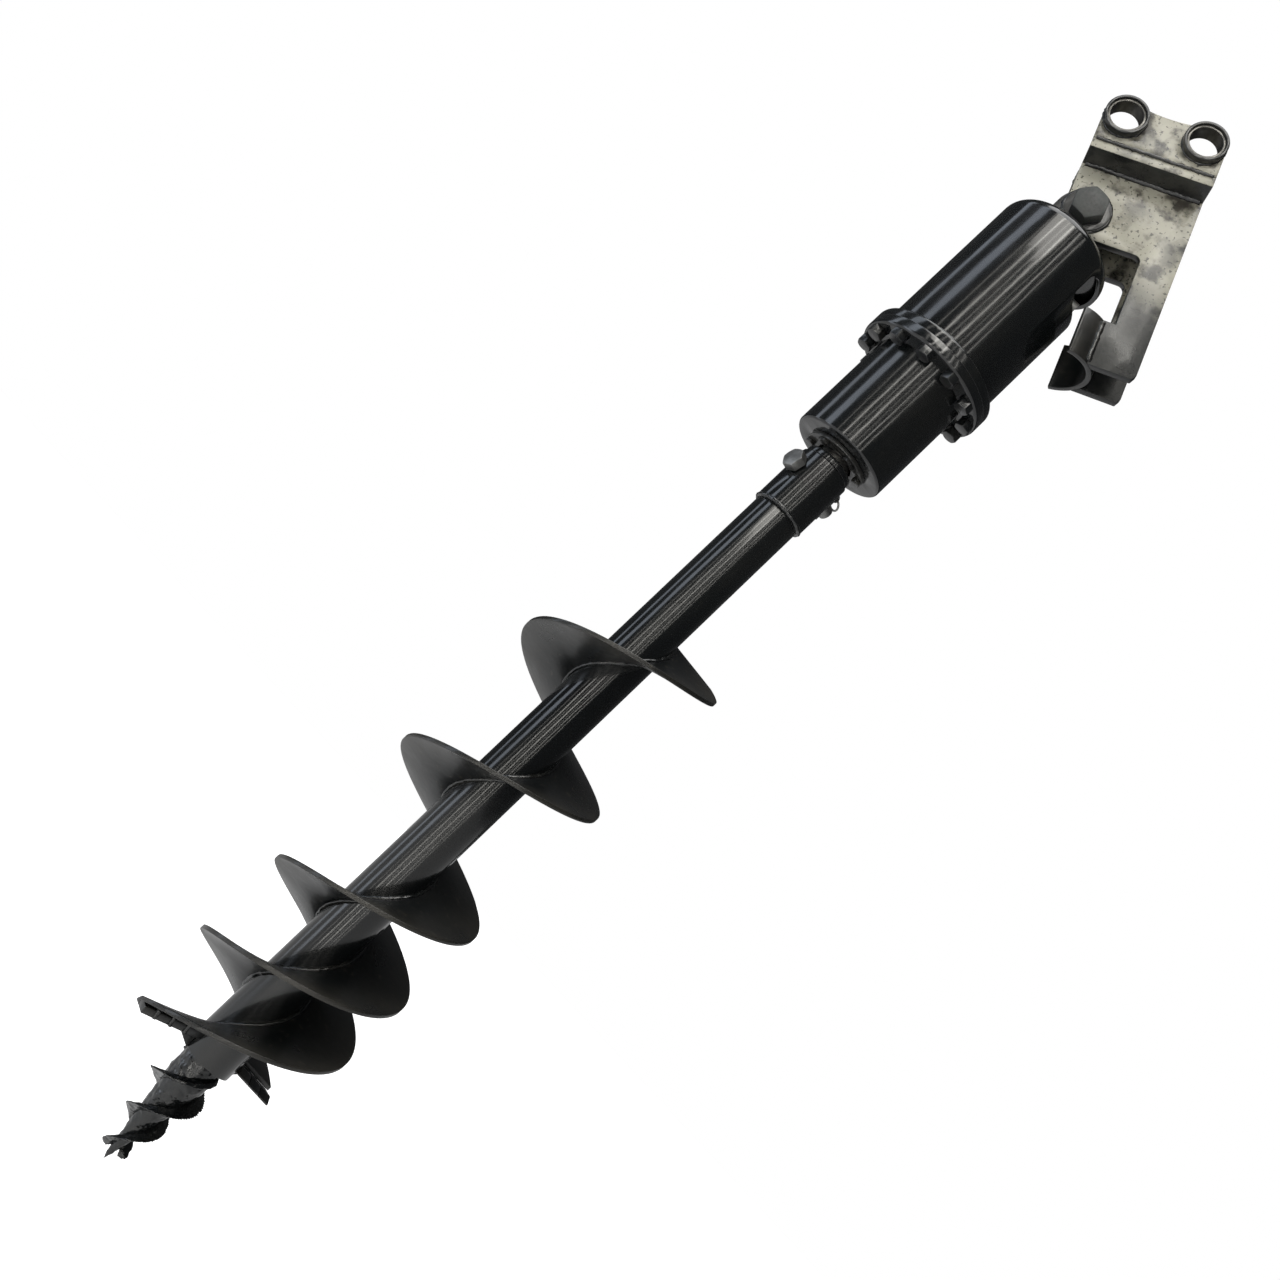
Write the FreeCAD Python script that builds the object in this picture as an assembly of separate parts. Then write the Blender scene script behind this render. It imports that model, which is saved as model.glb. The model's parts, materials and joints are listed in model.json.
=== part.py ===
import FreeCAD, Part
import math
import os

from FreeCAD import Vector

# Earth auger drive for a small excavator: a two-pin hitch, a hydraulic drive
# that hangs from the hitch by one big bolt, and a 250 mm earth auger.
# Millimetres. +Z points up along the plumb drive, +Y runs along the pins and
# the origin is the centre of the arm pin bore.

os.makedirs("parts", exist_ok=True)

UP = Vector(0, 0, 1)
ACROSS = Vector(0, 1, 0)
ALONG = Vector(1, 0, 0)

# Fits and gaps
RUNNING_GAP = 0.05        # radial, shaft in bush
SIDE_GAP = 0.5            # axial, between faces that turn on each other
SEAT_GAP = 0.02           # between faces that are welded, pressed or bolted

# Hitch, drawn upright about the pivot and then leaned back
HITCH_TILT = 21.7         # degrees, lean of the hitch when the drive is plumb
ARM_PIN_X = 0.0
ARM_PIN_Z = 129.0
PIN_CENTRES = 112.0
PIN_BORE = 45.0
BUSH_WALL = 4.0
BOSS_DIAMETER = 61.0
BOSS_LENGTH = 12.0
BUSH_RECESS = 3.0
EAR_THICKNESS = 16.0
EAR_SPREAD = 160.0        # over the outer faces of the two ears
EAR_SADDLE_DROP = 8.0     # dip of the ear's top edge between the bosses
DECK_THICKNESS = 15.0
DECK_BOTTOM = 71.5        # height of the deck's underside above the pivot
SIDE_PLATE = 12.0
SIDE_PLATE_SPREAD = 83.0  # over the outer faces of the two side plates
SHOULDER_DEPTH = 40.0     # side plate below the pivot
LEG_INNER_X = 92.5
LEG_WIDTH = 50.0
LEG_LENGTH = 219.5        # from the pivot down to the leg's end
LEG_CORNER = 8.0
NOTCH_RADIUS = 10.0

# Rest that the hood swings against, half of a pipe
REST_DIAMETER = 122.0
REST_WALL = 8.0
REST_LENGTH = 70.0
REST_HALF_ANGLE = 75.0
REST_BACK_X = 92.0

# Pivot bolt, M30
BOLT_DIAMETER = 30.0
BOLT_HEAD_FLATS = 46.0
BOLT_HEAD_HEIGHT = 18.7
BOLT_NUT_HEIGHT = 25.0
BOLT_TAIL = 10.0
BOLT_WASHER_DIAMETER = 56.0
BOLT_WASHER = 4.0
PAD_DIAMETER = 66.0
PAD_THICKNESS = 5.0
THRUST_WASHER = 4.0

# Lug on the hood
LUG_EYE_RADIUS = 44.0
LUG_BUSH_WALL = 4.0
THRUST_WASHER_DIAMETER = 60.0

# Hood
PIVOT_TO_HOOD = 43.5
HOOD_DIAMETER = 181.0
HOOD_LENGTH = 258.0
HOOD_WALL = 6.0
HOOD_TOP = 10.0
HOOD_SHOULDER = 20.0
WINDOW_WIDTH = 136.0
WINDOW_HEIGHT = 56.0
WINDOW_DROP = 24.0        # from the hood's top to the window's top
WINDOW_CORNER = 16.0
WINDOW_ANGLE = 13.0       # direction that the window and the oil ports face

# Flanges and gear case
FLANGE_DIAMETER = 205.6
HOOD_FLANGE = 16.0
CASE_FLANGE = 16.0
FLANGE_EDGE = 5.0
FLANGE_BOLTS = 12
FLANGE_BOLT_CIRCLE = 180.0
FLANGE_BOLT_ANGLE = 0.0
FLANGE_BOLT = 10.0
FLANGE_BOLT_HEAD = 21.0
FLANGE_BOLT_HEAD_HEIGHT = 12.0
CASE_DIAMETER = 147.0
CASE_LENGTH = 175.0       # with its flange
CASE_WALL = 7.0
CASE_EDGE = 4.0
CASE_FLOOR = 14.0

# Planetary stage
MODULE = 2.0
SUN_TEETH = 18
PLANET_TEETH = 18
RING_TEETH = SUN_TEETH + 2 * PLANET_TEETH
PLANETS = 3
PRESSURE_ANGLE = 20.0
BACKLASH = 0.30
GEAR_WIDTH = 38.0
GEAR_SIDE_GAP = 1.0
PLANET_PIN = 14.0
RETAINER_THICKNESS = 3.0
CARRIER_THICKNESS = 14.0
CARRIER_DIAMETER = 104.0

# Output shaft and its bearings
SHAFT_DIAMETER = 50.0
JOURNAL_DIAMETER = 54.0
BEARING_OUTER = 100.0
BEARING_HEIGHT = 21.0
BEARING_RACE = 6.5
ROLLERS = 14
SEAL_WIDTH = 10.0
SEAL_OUTER = 72.0
RETAINER_PLATE = 6.0
RETAINER_PLATE_DIAMETER = 98.0
RETAINER_BOLTS = 6
RETAINER_BOLT = 8.0
RETAINER_BOLT_CIRCLE = 84.0
DUST_RING_DIAMETER = 74.0
DUST_RING = 9.0

# Hydraulic motor inside the hood
MOTOR_PLATE = 14.0
MOTOR_DIAMETER = 100.0
MOTOR_FLANGE_DIAMETER = 132.0
MOTOR_FLANGE = 15.0
MOTOR_HOUSING = 114.0
GEROTOR_HEIGHT = 40.0
PORT_BLOCK_HEIGHT = 56.0
PORT_BLOCK_WIDTH = 90.0
MOTOR_COVER = 10.0
MOTOR_BOLT = 12.0
MOTOR_BOLT_CIRCLE = 106.0
MOTOR_SHAFT = 25.0
PORT_SPACING = 46.0
PORT_HEX = 32.0
PORT_THREAD = 22.0
PORT_SETBACK = 4.0        # nipple's end inside the hood's skin

# Auger
AUGER_DIAMETER = 247.0
FLIGHT_PITCH = 215.0
FLIGHT_THICKNESS = 6.0
TUBE_DIAMETER = 71.4
TUBE_WALL = 6.0
HUB_DIAMETER = 79.0
HUB_LENGTH = 90.0
HUB_DROP = 25.0           # from the case's floor to the hub's top
HUB_BORE_DEPTH = 70.0
HUB_SPIGOT = 14.0
SHAFT_ENTRY = 66.0
TUBE_LENGTH = 1002.0
MAIN_FLIGHT_TURNS = 3.49
MAIN_FLIGHT_ANGLE = 224.0     # direction of its lower end
MAIN_FLIGHT_LIFT = 25.0       # its lower end above the tube's end
SECOND_FLIGHT_TURNS = 1.08
SECOND_FLIGHT_ANGLE = 60.0
SECOND_FLIGHT_LIFT = 20.0
END_DROOP = 17.0              # hang of a flight's rim where it meets its cutter

# Pin through the hub
HUB_PIN = 20.0
HUB_PIN_DROP = 30.0       # below the hub's top
HUB_PIN_ANGLE = 230.0     # direction in which its head points
HUB_PIN_HEAD_FLATS = 28.0
HUB_PIN_HEAD = 13.0
HUB_PIN_TAIL = 16.0
LINCH_PIN = 7.0
LINCH_WIRE = 3.0
LINCH_RING = 18.0         # mean diameter
LINCH_HANG = 40.0         # degrees that the ring hangs below level
LINCH_EYE = 13.0
LINCH_EYE_WIDTH = 5.0

# Cutting head
CUTTER_DEPTH = 20.0
CUTTER_THICKNESS = 10.0
CUTTER_RIM_GAP = 6.0          # from the bar's end to the flight's rim
TEETH_PER_CUTTER = 3
TOOTH_GAP = 2.0
TOOTH_LENGTH = 13.0
GUSSET_THICKNESS = 8.0
GUSSET_HEIGHT = 26.0
SOCKET_LENGTH = 62.0
PILOT_SHANK = 32.0
PILOT_SHANK_LENGTH = 56.0
PILOT_PIN = 10.0
PILOT_PIN_LIFT = 34.0         # above the tube's end
PILOT_COLLAR_DIAMETER = 55.0
PILOT_COLLAR = 32.0
PILOT_CONE = 122.0
PILOT_POINT_DIAMETER = 8.0
PILOT_SPIKE = 11.0
PILOT_PITCH = 48.5
PILOT_FLIGHT_TURNS = 3.0
PILOT_FLIGHT_DEPTH = 19.5
PILOT_FLIGHT_ANGLE = 167.0
PILOT_FLIGHT_THICKNESS = 6.0
PILOT_FLATS = 24              # flats in one turn of its flight

# Places along the drive's axis, with the pivot at zero
HOOD_TOP_Z = -PIVOT_TO_HOOD
HOOD_BASE_Z = HOOD_TOP_Z - HOOD_LENGTH
SEAM_Z = HOOD_BASE_Z - HOOD_FLANGE
CASE_BASE_Z = SEAM_Z - CASE_LENGTH
HUB_TOP_Z = CASE_BASE_Z - HUB_DROP
TUBE_TOP_Z = HUB_TOP_Z - HUB_LENGTH
TUBE_END_Z = TUBE_TOP_Z - TUBE_LENGTH
GEAR_TOP_Z = SEAM_Z - RETAINER_THICKNESS - 2 * GEAR_SIDE_GAP
GEAR_BASE_Z = GEAR_TOP_Z - GEAR_WIDTH
CARRIER_TOP_Z = GEAR_BASE_Z - GEAR_SIDE_GAP
UPPER_BEARING_Z = CARRIER_TOP_Z - CARRIER_THICKNESS - 4.0
LOWER_BEARING_Z = CASE_BASE_Z + CASE_FLOOR + 6.0 + BEARING_HEIGHT
GEAR_CENTRES = MODULE * (SUN_TEETH + PLANET_TEETH) / 2


def hitch_place():
    """Where the upright hitch stands: leaned back about the pivot."""
    lean = FreeCAD.Rotation(ACROSS, -HITCH_TILT)
    arm_pin = lean.multVec(Vector(ARM_PIN_X, 0, ARM_PIN_Z))
    return FreeCAD.Placement(arm_pin * -1, lean)


PIVOT = hitch_place().Base


def save(name, shape):
    """Write one sub-part."""
    shape.exportStep("parts/" + name + ".step")


def save_hitch(name, shape):
    """Write a sub-part that is drawn on the upright hitch."""
    placed = shape.copy()
    placed.Placement = hitch_place().multiply(placed.Placement)
    save(name, placed)


def save_drive(name, shape):
    """Write a sub-part that is drawn below the pivot."""
    placed = shape.copy()
    placed.translate(PIVOT)
    save(name, placed)


def disc(diameter, height, base, axis=UP):
    """A cylinder that stands on the point base."""
    return Part.makeCylinder(diameter / 2, height, base, axis)


def ring(outer, inner, height, base, axis=UP):
    """A cylinder with a hole through it."""
    body = disc(outer, height, base, axis)
    return body.cut(disc(inner, height, base, axis))


def hexagon(flats, height, base, axis=UP):
    """A hexagonal prism, as a bolt head."""
    corner = flats / math.sqrt(3)
    points = []
    for i in range(7):
        turn = math.radians(60 * i + 30)
        points.append(Vector(corner * math.cos(turn), corner * math.sin(turn), 0))
    prism = Part.Face(Part.makePolygon(points)).extrude(Vector(0, 0, height))
    prism.Placement = FreeCAD.Placement(base, FreeCAD.Rotation(UP, axis))
    return prism


def chamfered_head(flats, height, base, axis=UP):
    """A bolt head whose outer corners are turned down to a cone."""
    head = hexagon(flats, height, base, axis)
    corner = flats / math.sqrt(3)
    bevel = (corner - flats / 2) * 0.58
    cone_top = flats / 2 * 0.97
    cone = Part.makeCone(corner + 0.2, cone_top, bevel, Vector(0, 0, height - bevel))
    barrel = Part.makeCylinder(corner + 0.2, height - bevel)
    mask = barrel.fuse(cone)
    mask.Placement = FreeCAD.Placement(base, FreeCAD.Rotation(UP, axis))
    return head.common(mask)


def around(shape, count, start=0.0):
    """Copies of a shape, evenly spaced about the drive's axis."""
    copies = []
    for i in range(count):
        copy = shape.copy()
        copy.rotate(Vector(0, 0, 0), UP, start + 360 * i / count)
        copies.append(copy)
    return copies


def flat_solid(points, thickness, middle_y):
    """A plate cut to an outline in X and Z, centred on middle_y."""
    corners = []
    for x, z in points:
        corners.append(Vector(x, middle_y - thickness / 2, z))
    corners.append(corners[0])
    face = Part.Face(Part.makePolygon(corners))
    return face.extrude(Vector(0, thickness, 0))


def edges_at(shape, x, z):
    """The edges of a plate that run along Y through a corner."""
    found = []
    for edge in shape.Edges:
        if len(edge.Vertexes) != 2:
            continue
        a = edge.Vertexes[0].Point
        b = edge.Vertexes[1].Point
        near = abs(a.x - x) < 0.01 and abs(a.z - z) < 0.01
        if near and abs(b.x - x) < 0.01 and abs(b.z - z) < 0.01:
            found.append(edge)
    return found


# ---------------------------------------------------------------- hitch

LINK_PIN_X = ARM_PIN_X + PIN_CENTRES
HITCH_LEFT = ARM_PIN_X - BOSS_DIAMETER / 2
HITCH_RIGHT = LINK_PIN_X + BOSS_DIAMETER / 2
DECK_TOP = DECK_BOTTOM + DECK_THICKNESS
EAR_Y = (EAR_SPREAD - EAR_THICKNESS) / 2
SIDE_PLATE_Y = (SIDE_PLATE_SPREAD - SIDE_PLATE) / 2
REST_AXIS_X = REST_BACK_X - REST_DIAMETER / 2


def deck_plate():
    length = HITCH_RIGHT - HITCH_LEFT
    base = Vector(HITCH_LEFT, -EAR_SPREAD / 2, DECK_BOTTOM)
    return Part.makeBox(length, EAR_SPREAD, DECK_THICKNESS, base)


def ear_plate(side):
    """Ear on the deck: round over each pin, with a shallow dip between."""
    middle_y = side * EAR_Y
    front = Vector(0, middle_y - EAR_THICKNESS / 2, 0)
    round_top = BOSS_DIAMETER / 2
    top = ARM_PIN_Z + round_top
    foot = DECK_TOP + SEAT_GAP
    outline = [
        (HITCH_LEFT, foot),
        (HITCH_RIGHT, foot),
        (HITCH_RIGHT, ARM_PIN_Z),
        (LINK_PIN_X, top),
        (ARM_PIN_X, top),
        (HITCH_LEFT, ARM_PIN_Z),
    ]
    plate = flat_solid(outline, EAR_THICKNESS, middle_y)
    for x in (ARM_PIN_X, LINK_PIN_X):
        eye_base = front + Vector(x, 0, ARM_PIN_Z)
        plate = plate.fuse(disc(BOSS_DIAMETER, EAR_THICKNESS, eye_base, ACROSS))
    half = PIN_CENTRES / 2
    dip_radius = (half ** 2 + EAR_SADDLE_DROP ** 2) / (2 * EAR_SADDLE_DROP)
    dip_z = top - EAR_SADDLE_DROP + dip_radius
    dip_base = front + Vector(ARM_PIN_X + half, 0, dip_z)
    plate = plate.cut(disc(2 * dip_radius, EAR_THICKNESS, dip_base, ACROSS))
    for x in (ARM_PIN_X, LINK_PIN_X):
        hole_base = front + Vector(x, 0, ARM_PIN_Z)
        hole = PIN_BORE + 2 * BUSH_WALL
        plate = plate.cut(disc(hole, EAR_THICKNESS, hole_base, ACROSS))
    return plate.removeSplitter()


def ear_bosses():
    """Four thick rings welded on the outer faces of the ears."""
    bosses = []
    inner = PIN_BORE + 2 * BUSH_WALL
    for side in (-1, 1):
        for x in (ARM_PIN_X, LINK_PIN_X):
            start = EAR_SPREAD / 2 + SEAT_GAP
            base = Vector(x, side * start, ARM_PIN_Z)
            axis = ACROSS * side
            boss = ring(BOSS_DIAMETER, inner, BOSS_LENGTH, base, axis)
            bosses.append(boss)
    return Part.makeCompound(bosses)


def ear_bushes(x):
    """Hardened bushes for one pin, set a little below the boss faces."""
    bushes = []
    outer = PIN_BORE + 2 * BUSH_WALL - 2 * SEAT_GAP
    length = EAR_THICKNESS + BOSS_LENGTH - BUSH_RECESS
    for side in (-1, 1):
        start = EAR_SPREAD / 2 - EAR_THICKNESS
        base = Vector(x, side * start, ARM_PIN_Z)
        bushes.append(ring(outer, PIN_BORE, length, base, ACROSS * side))
    return Part.makeCompound(bushes)


def side_plate(side):
    """Plate beside the lug, with a leg that reaches down to the rest."""
    middle_y = side * SIDE_PLATE_Y
    top = DECK_BOTTOM - SEAT_GAP
    leg_outer = LEG_INNER_X + LEG_WIDTH
    rest_top = -LEG_LENGTH + REST_LENGTH
    outline = [
        (HITCH_LEFT, top),
        (leg_outer, top),
        (leg_outer, -LEG_LENGTH + LEG_CORNER),
        (leg_outer - LEG_CORNER / 2, -LEG_LENGTH),
        (REST_AXIS_X, -LEG_LENGTH),
        (REST_AXIS_X, rest_top),
        (LEG_INNER_X, rest_top),
        (LEG_INNER_X, -SHOULDER_DEPTH),
        (0, -SHOULDER_DEPTH),
        (HITCH_LEFT, -SHOULDER_DEPTH),
    ]
    plate = flat_solid(outline, SIDE_PLATE, middle_y)
    plate = plate.makeFillet(NOTCH_RADIUS, edges_at(plate, LEG_INNER_X, -SHOULDER_DEPTH))
    corner_radius = min(-HITCH_LEFT, SHOULDER_DEPTH) - 1.0
    plate = plate.makeFillet(corner_radius, edges_at(plate, HITCH_LEFT, -SHOULDER_DEPTH))
    rest_base = Vector(REST_AXIS_X, 0, -LEG_LENGTH)
    plate = plate.cut(disc(REST_DIAMETER + 2 * SEAT_GAP, REST_LENGTH, rest_base))
    front = Vector(0, middle_y - SIDE_PLATE / 2, 0)
    hole = BOLT_DIAMETER + 2 * RUNNING_GAP
    return plate.cut(disc(hole, SIDE_PLATE, front, ACROSS))


def hood_rest():
    """Half pipe between the legs, open towards the hood."""
    base = Vector(REST_AXIS_X, 0, -LEG_LENGTH)
    inner = REST_DIAMETER / 2 - REST_WALL
    pipe = Part.makeCylinder(REST_DIAMETER / 2, REST_LENGTH, base, UP, 2 * REST_HALF_ANGLE)
    pipe = pipe.cut(Part.makeCylinder(inner, REST_LENGTH, base))
    pipe.rotate(base, UP, -REST_HALF_ANGLE)
    return pipe


def pivot_pads():
    """Round pads welded on the side plates under the bolt head and nut."""
    pads = []
    hole = BOLT_DIAMETER + 2 * RUNNING_GAP
    for side in (-1, 1):
        base = Vector(0, side * (SIDE_PLATE_SPREAD / 2 + SEAT_GAP), 0)
        pads.append(ring(PAD_DIAMETER, hole, PAD_THICKNESS, base, ACROSS * side))
    return Part.makeCompound(pads)


def pivot_bolt():
    """M30 bolt with its head at the front."""
    head_y = SIDE_PLATE_SPREAD / 2 + PAD_THICKNESS + 2 * SEAT_GAP
    nut_end = head_y + BOLT_WASHER + BOLT_NUT_HEIGHT
    front = ACROSS * -1
    head = chamfered_head(BOLT_HEAD_FLATS, BOLT_HEAD_HEIGHT, front * head_y, front)
    shank_length = head_y + nut_end + BOLT_TAIL
    shank = disc(BOLT_DIAMETER, shank_length, front * head_y, ACROSS)
    tip = shank.Edges
    shank = shank.makeChamfer(2.5, [e for e in tip if e.BoundBox.YMin > nut_end])
    return head.fuse(shank).removeSplitter()


def pivot_nut():
    """Nut and washer on the far end of the bolt."""
    washer_y = SIDE_PLATE_SPREAD / 2 + PAD_THICKNESS + 2 * SEAT_GAP
    hole = BOLT_DIAMETER + 2 * SEAT_GAP
    nut_base = ACROSS * (washer_y + BOLT_WASHER + SEAT_GAP)
    nut = chamfered_head(BOLT_HEAD_FLATS, BOLT_NUT_HEIGHT, nut_base, ACROSS)
    nut = nut.cut(disc(hole, BOLT_NUT_HEIGHT, nut_base, ACROSS))
    washer = ring(BOLT_WASHER_DIAMETER, hole, BOLT_WASHER, ACROSS * washer_y, ACROSS)
    return Part.makeCompound([nut, washer])


def thrust_washers():
    """Wear washers between the side plates and the lug."""
    washers = []
    hole = BOLT_DIAMETER + 2 * RUNNING_GAP
    for side in (-1, 1):
        face_y = SIDE_PLATE_SPREAD / 2 - SIDE_PLATE - SEAT_GAP
        base = Vector(0, side * face_y, 0)
        axis = ACROSS * -side
        washers.append(ring(THRUST_WASHER_DIAMETER, hole, THRUST_WASHER, base, axis))
    return Part.makeCompound(washers)


# ---------------------------------------------------------------- drive head

LUG_WIDTH = SIDE_PLATE_SPREAD - 2 * (SIDE_PLATE + SEAT_GAP + THRUST_WASHER + SIDE_GAP)


def pivot_lug():
    """Thick eye that stands on the hood."""
    foot_z = HOOD_TOP_Z + SEAT_GAP
    outline = [
        (-LUG_EYE_RADIUS, foot_z),
        (LUG_EYE_RADIUS, foot_z),
        (LUG_EYE_RADIUS, 0),
        (-LUG_EYE_RADIUS, 0),
    ]
    front = Vector(0, -LUG_WIDTH / 2, 0)
    eye = disc(2 * LUG_EYE_RADIUS, LUG_WIDTH, front, ACROSS)
    eye = eye.cut(Part.makeBox(200, 200, 100, Vector(-100, -100, -100)))
    lug = flat_solid(outline, LUG_WIDTH, 0).fuse(eye)
    hole = BOLT_DIAMETER + 2 * RUNNING_GAP + 2 * LUG_BUSH_WALL
    return lug.cut(disc(hole, LUG_WIDTH, front, ACROSS)).removeSplitter()


def lug_bush():
    front = Vector(0, -LUG_WIDTH / 2, 0)
    inner = BOLT_DIAMETER + 2 * RUNNING_GAP
    outer = inner + 2 * LUG_BUSH_WALL - 2 * SEAT_GAP
    return ring(outer, inner, LUG_WIDTH, front, ACROSS)


def rounded_top(diameter, length, radius, top_z):
    """A cylinder with a rounded upper edge."""
    body = disc(diameter, length, Vector(0, 0, top_z - length))
    top_edge = [e for e in body.Edges if e.BoundBox.ZMin > top_z - 0.01]
    return body.makeFillet(radius, top_edge)


def faced(shape):
    """Turn what is drawn facing +X so that it faces the hood's window."""
    turned = shape.copy()
    turned.rotate(Vector(0, 0, 0), UP, WINDOW_ANGLE)
    return turned


def window_cutter():
    """Rounded opening through one side of the hood, for the hoses."""
    top = HOOD_TOP_Z - WINDOW_DROP
    base = Vector(0, -WINDOW_WIDTH / 2, top - WINDOW_HEIGHT)
    box = Part.makeBox(HOOD_DIAMETER, WINDOW_WIDTH, WINDOW_HEIGHT, base)
    along = [e for e in box.Edges if e.BoundBox.XLength > 1.0]
    return faced(box.makeFillet(WINDOW_CORNER, along))


def hood():
    """Deep steel cap over the motor."""
    outer = rounded_top(HOOD_DIAMETER, HOOD_LENGTH, HOOD_SHOULDER, HOOD_TOP_Z)
    hollow_top = HOOD_TOP_Z - HOOD_TOP
    hollow_length = HOOD_LENGTH - HOOD_TOP
    hollow_diameter = HOOD_DIAMETER - 2 * HOOD_WALL
    hollow_round = HOOD_SHOULDER - HOOD_WALL
    hollow = rounded_top(hollow_diameter, hollow_length, hollow_round, hollow_top)
    return outer.cut(hollow).cut(window_cutter())


def hood_flange():
    """Ring welded round the foot of the hood, tapped for the bolts."""
    top_z = HOOD_BASE_Z - SEAT_GAP
    height = HOOD_FLANGE - SEAT_GAP
    body = disc(FLANGE_DIAMETER, height, Vector(0, 0, SEAM_Z))
    top_edge = [e for e in body.Edges if e.BoundBox.ZMin > top_z - 0.01]
    body = body.makeFillet(FLANGE_EDGE, top_edge)
    hole = HOOD_DIAMETER - 2 * HOOD_WALL
    body = body.cut(disc(hole, height, Vector(0, 0, SEAM_Z)))
    tapping = disc(FLANGE_BOLT, height, Vector(FLANGE_BOLT_CIRCLE / 2, 0, SEAM_Z))
    for cutter in around(tapping, FLANGE_BOLTS, FLANGE_BOLT_ANGLE):
        body = body.cut(cutter)
    return body


def gear_case():
    """Lower housing with its flange, gear bore, bearing seats and floor."""
    flange_z = SEAM_Z - CASE_FLANGE
    body = disc(CASE_DIAMETER, CASE_LENGTH - SEAT_GAP, Vector(0, 0, CASE_BASE_Z))
    low = [e for e in body.Edges if e.BoundBox.ZMax < CASE_BASE_Z + 0.01]
    body = body.makeFillet(CASE_EDGE, low)
    flange = disc(FLANGE_DIAMETER, CASE_FLANGE - SEAT_GAP, Vector(0, 0, flange_z))
    low = [e for e in flange.Edges if e.BoundBox.ZMax < flange_z + 0.01]
    flange = flange.makeFillet(FLANGE_EDGE, low)
    body = body.fuse(flange)
    gear_floor = CARRIER_TOP_Z - CARRIER_THICKNESS - 2.0
    gear_bore = CASE_DIAMETER - 2 * CASE_WALL
    body = body.cut(disc(gear_bore, SEAM_Z - gear_floor, Vector(0, 0, gear_floor)))
    floor_z = CASE_BASE_Z + CASE_FLOOR
    relief = BEARING_OUTER - 2 * 4.0
    body = body.cut(disc(relief, gear_floor - floor_z, Vector(0, 0, floor_z)))
    for top in (UPPER_BEARING_Z, LOWER_BEARING_Z):
        seat = Vector(0, 0, top - BEARING_HEIGHT)
        depth = BEARING_HEIGHT
        if top == UPPER_BEARING_Z:
            depth = gear_floor - seat.z
        body = body.cut(disc(BEARING_OUTER, depth, seat))
    body = body.cut(disc(SEAL_OUTER, CASE_FLOOR, Vector(0, 0, CASE_BASE_Z)))
    screw_depth = CASE_FLOOR - 1.0
    screw = disc(RETAINER_BOLT, screw_depth, Vector(RETAINER_BOLT_CIRCLE / 2, 0, CASE_BASE_Z))
    for cutter in around(screw, RETAINER_BOLTS):
        body = body.cut(cutter)
    hole_base = Vector(FLANGE_BOLT_CIRCLE / 2, 0, flange_z)
    clearance = disc(FLANGE_BOLT + 1.0, CASE_FLANGE, hole_base)
    for cutter in around(clearance, FLANGE_BOLTS, FLANGE_BOLT_ANGLE):
        body = body.cut(cutter)
    return body


def flange_bolts():
    """Bolts pushed up through the case's flange into the hood's."""
    under = SEAM_Z - CASE_FLANGE - SEAT_GAP
    head_base = Vector(FLANGE_BOLT_CIRCLE / 2, 0, under)
    head = chamfered_head(FLANGE_BOLT_HEAD, FLANGE_BOLT_HEAD_HEIGHT, head_base, UP * -1)
    shank_length = CASE_FLANGE + HOOD_FLANGE - 2.0
    shank = disc(FLANGE_BOLT - 2 * SEAT_GAP, shank_length, head_base)
    bolt = head.fuse(shank)
    return Part.makeCompound(around(bolt, FLANGE_BOLTS, FLANGE_BOLT_ANGLE))


# ---------------------------------------------------------------- gears

def involute(angle):
    return math.tan(angle) - angle


def gear_outline(teeth, outer, inner, gain):
    """Corners of a gear's outline; gain thickens each tooth at the pitch circle."""
    pitch_radius = MODULE * teeth / 2
    pressure = math.radians(PRESSURE_ANGLE)
    base_radius = pitch_radius * math.cos(pressure)
    half_at_pitch = math.pi / (2 * teeth) + gain / (2 * pitch_radius)
    flank = []
    for radius in (inner, pitch_radius, (pitch_radius + outer) / 2, outer):
        slope = math.acos(min(1.0, base_radius / radius))
        half = half_at_pitch + involute(pressure) - involute(slope)
        flank.append((radius, half))
    points = []
    for i in range(teeth):
        middle = 2 * math.pi * i / teeth
        for radius, half in flank:
            turn = middle - half
            points.append(Vector(radius * math.cos(turn), radius * math.sin(turn), 0))
        for radius, half in reversed(flank):
            turn = middle + half
            points.append(Vector(radius * math.cos(turn), radius * math.sin(turn), 0))
    points.append(points[0])
    return points


def gear_blank(teeth, turn):
    """A toothed disc, its first tooth turned from +X by turn degrees."""
    pitch_radius = MODULE * teeth / 2
    outer = pitch_radius + 0.95 * MODULE
    inner = pitch_radius - 1.25 * MODULE
    points = gear_outline(teeth, outer, inner, -BACKLASH / 2)
    gear = Part.Face(Part.makePolygon(points)).extrude(Vector(0, 0, GEAR_WIDTH))
    gear.rotate(Vector(0, 0, 0), UP, turn)
    gear.translate(Vector(0, 0, GEAR_BASE_Z))
    return gear


def ring_gear():
    """Inner-toothed ring pressed in the case."""
    outer = CASE_DIAMETER - 2 * CASE_WALL - 2 * SEAT_GAP
    pitch_radius = MODULE * RING_TEETH / 2
    space_outer = pitch_radius + 1.25 * MODULE
    space_inner = pitch_radius - 0.95 * MODULE
    points = gear_outline(RING_TEETH, space_outer, space_inner, BACKLASH / 2)
    spaces = Part.Face(Part.makePolygon(points)).extrude(Vector(0, 0, GEAR_WIDTH))
    spaces.rotate(Vector(0, 0, 0), UP, 180 / RING_TEETH)
    spaces.translate(Vector(0, 0, GEAR_BASE_Z))
    blank = disc(outer, GEAR_WIDTH, Vector(0, 0, GEAR_BASE_Z))
    return blank.cut(spaces)


def sun_gear():
    """Sun gear with the bore for the motor's shaft."""
    gear = gear_blank(SUN_TEETH, 0)
    return gear.cut(disc(MOTOR_SHAFT, GEAR_WIDTH, Vector(0, 0, GEAR_BASE_Z)))


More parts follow.
